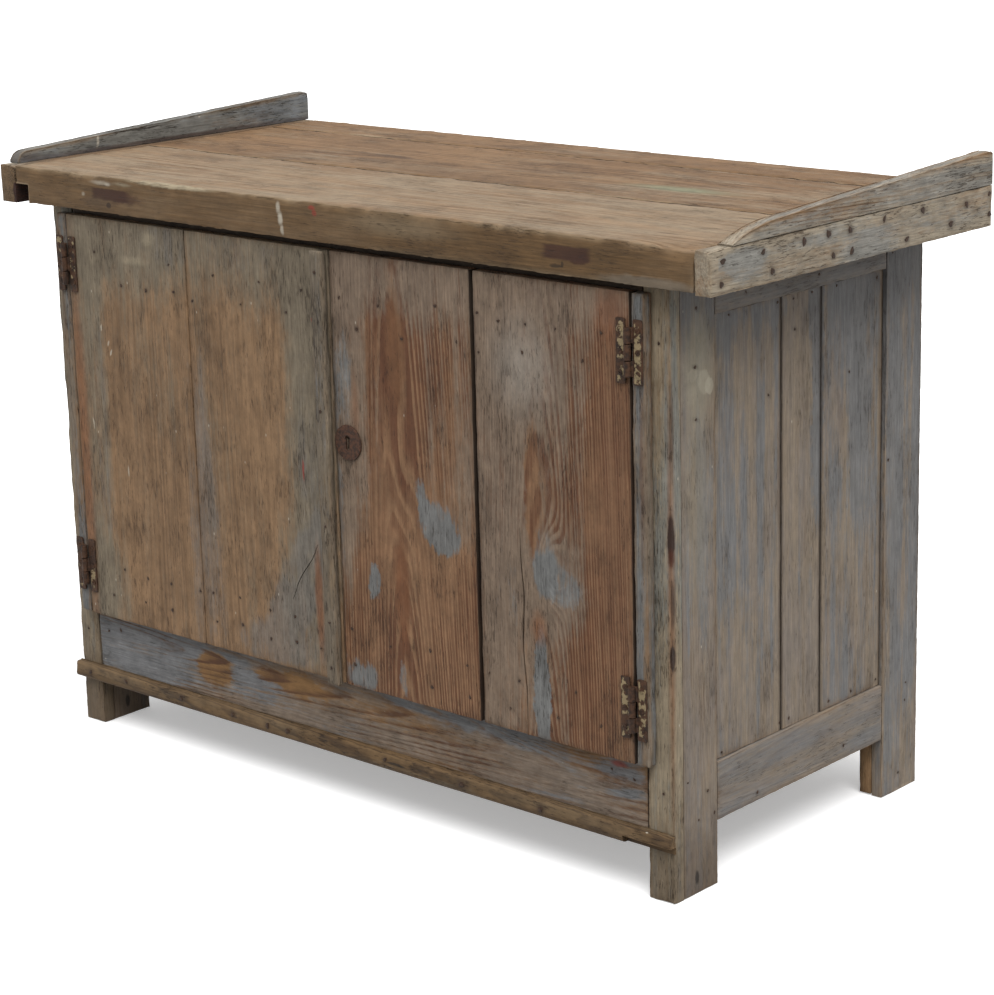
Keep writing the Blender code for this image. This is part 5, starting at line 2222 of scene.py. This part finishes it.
def right_door(keyhole: Thing) -> Door:
    """Describe the right door: bold red-brown grain, with scraps of blue-grey paint.

    Args:
        keyhole: Shape that is cut out of its inner board.

    Returns:
        The door.
    """
    base = OldWood(RED_PINE_LIGHT, RED_PINE_DARK, strand=0.9, fleck=0.3, soot=0.8)
    haze = Film(tone(123, 110, 96), 0.38, 1.0, 1.4, 0.25, 0.35, 0.75)
    blue = Film(tone(112, 113, 112), -0.2, 1.1, 0.8, soft=0.25, most=0.95, chip=0.8)
    inner_haze = replace(haze, patches=(
        Patch((0.130, 0.46), (0.032, 0.26), -0.6, soft=0.6),
        Patch((0.15, 0.28), (0.13, 0.13), -0.55),
        Patch((0.018, 0.56), (0.045, 0.25), 0.7),
        Patch((0.13, 0.775), (0.20, 0.08), 0.6),
        Patch((0.235, 0.58), (0.03, 0.16), 0.2),
    ))
    inner_blue = replace(blue, patches=(
        Patch((0.192, 0.432), (0.034, 0.030), 0.95, 25.0, 0.5),
        Patch((0.165, 0.462), (0.012, 0.026), 0.85, 10.0, 0.5),
        Patch((0.206, 0.410), (0.026, 0.020), 0.8, 0.0, 0.5),
        Patch((0.076, 0.332), (0.014, 0.026), 1.0, 0.0, 0.35),
        Patch((0.050, 0.195), (0.028, 0.024), 0.85, 0.0, 0.5),
        Patch((0.122, 0.205), (0.010, 0.026), 0.7, 0.0, 0.5),
        Patch((0.015, 0.45), (0.008, 0.3), 0.7),
        Patch((0.035, 0.60), (0.014, 0.07), 0.6),
    ))
    outer_haze = replace(haze, cover=0.5, patches=(
        Patch((0.295, 0.45), (0.045, 0.36), 0.4),
        Patch((0.345, 0.66), (0.08, 0.10), 0.4),
        Patch((0.40, 0.77), (0.14, 0.06), 0.4),
        Patch((0.355, 0.50), (0.010, 0.08), -0.8),
        Patch((0.484, 0.50), (0.032, 0.20), -0.6, soft=0.6),
        Patch((0.46, 0.25), (0.05, 0.09), -0.4),
        Patch((0.385, 0.38), (0.05, 0.06), 0.4),
    ))
    outer_blue = replace(blue, patches=(
        Patch((0.398, 0.388), (0.040, 0.032), 0.9, -25.0, 0.5),
        Patch((0.372, 0.42), (0.018, 0.05), 0.6, 0.0, 0.5),
        Patch((0.364, 0.235), (0.015, 0.090), 1.2, 0.0, 0.3),
        Patch((0.30, 0.35), (0.03, 0.06), 0.4),
    ))
    # The first tint is a painted highlight, a pale sheen on the outer board; the others are stains.
    stains_and_sheen = (
        Tint((0.345, 0.655), (0.040, 0.05), tone(150, 144, 135), 0.55, soft=0.9),
        Tint((0.362, 0.325), (0.012, 0.020), BURNT_ORANGE, 0.6, soft=0.6),
        Tint((0.485, 0.735), (0.022, 0.035), tone(118, 74, 48), 0.6, soft=0.7),
        Tint((0.487, 0.50), (0.030, 0.20), tone(92, 62, 45), 0.4, soft=0.7),
        Tint((0.052, 0.565), (0.006, 0.04), BURNT_ORANGE, 0.4, soft=0.8),
        Tint((0.125, 0.330), (0.012, 0.075), tone(108, 70, 46), 0.75, soft=0.35),
        Tint((0.128, 0.65), (0.017, 0.07), tone(108, 76, 52), 0.75, soft=0.35),
    )
    rows = {
        0.710: (0.030, 0.10, 0.20, 0.271, 0.306, 0.350, 0.398, 0.47),
        0.670: (0.06, 0.14, 0.235, 0.272, 0.344, 0.440),
        0.254: (0.029, 0.10, 0.172, 0.237, 0.275, 0.326, 0.42),
        0.213: (0.032, 0.173, 0.240, 0.31, 0.39, 0.46),
    }
    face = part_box("right_door_board_outer")[0].y
    split = Crack((0.333, face, 0.45), (0.339, face, 0.170), Face.FRONT, 0.002, 0.010)
    swirl = Knot((0.383, 0.405), (0.022, 0.05), 0.022, 0.2)
    flame = Knot((0.132, 0.50), (0.024, 0.11), 0.011, 0.0)
    return Door(
        Side.RIGHT,
        replace(base, films=(outer_haze, outer_blue), tints=stains_and_sheen[:4]),
        replace(base, films=(inner_haze, inner_blue), tints=stains_and_sheen[4:]),
        Grain((0.372, -0.262), (0.0, -0.055), 0.0038, 0.012, 0.8, (0.15, 0.6), knots=(swirl,)),
        Grain((0.137, -0.262), (0.02, -0.05), 0.0044, 0.010, 0.9, (0.10, 0.50), knots=(flame,)),
        rows,
        outer_cracks=(split,),
        inner_tools=[keyhole],
        seams=(Face.LEFT, Face.RIGHT),
    )


def main() -> None:
    """Build the cabinet's looks and its studio."""
    logging.basicConfig(level=logging.INFO, format="%(name)s: %(message)s")
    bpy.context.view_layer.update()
    LOG.info("loaded %d nodes", len(frame["nodes"]))
    carcass_nails = Top().build() + Carcass().build()
    NailHeads("carcass", carcass_nails).build()
    lock = Lock()
    left_nails = left_door().build() + CoverStrip().build()
    NailHeads("left_door", left_nails).build()
    right_nails = right_door(lock.keyhole()).build() + lock.pins()
    NailHeads("right_door", right_nails).build()
    lock.build()
    Hinges().build()
    TurnButton().build()
    Studio().build()


if __name__ == "__main__":
    main()
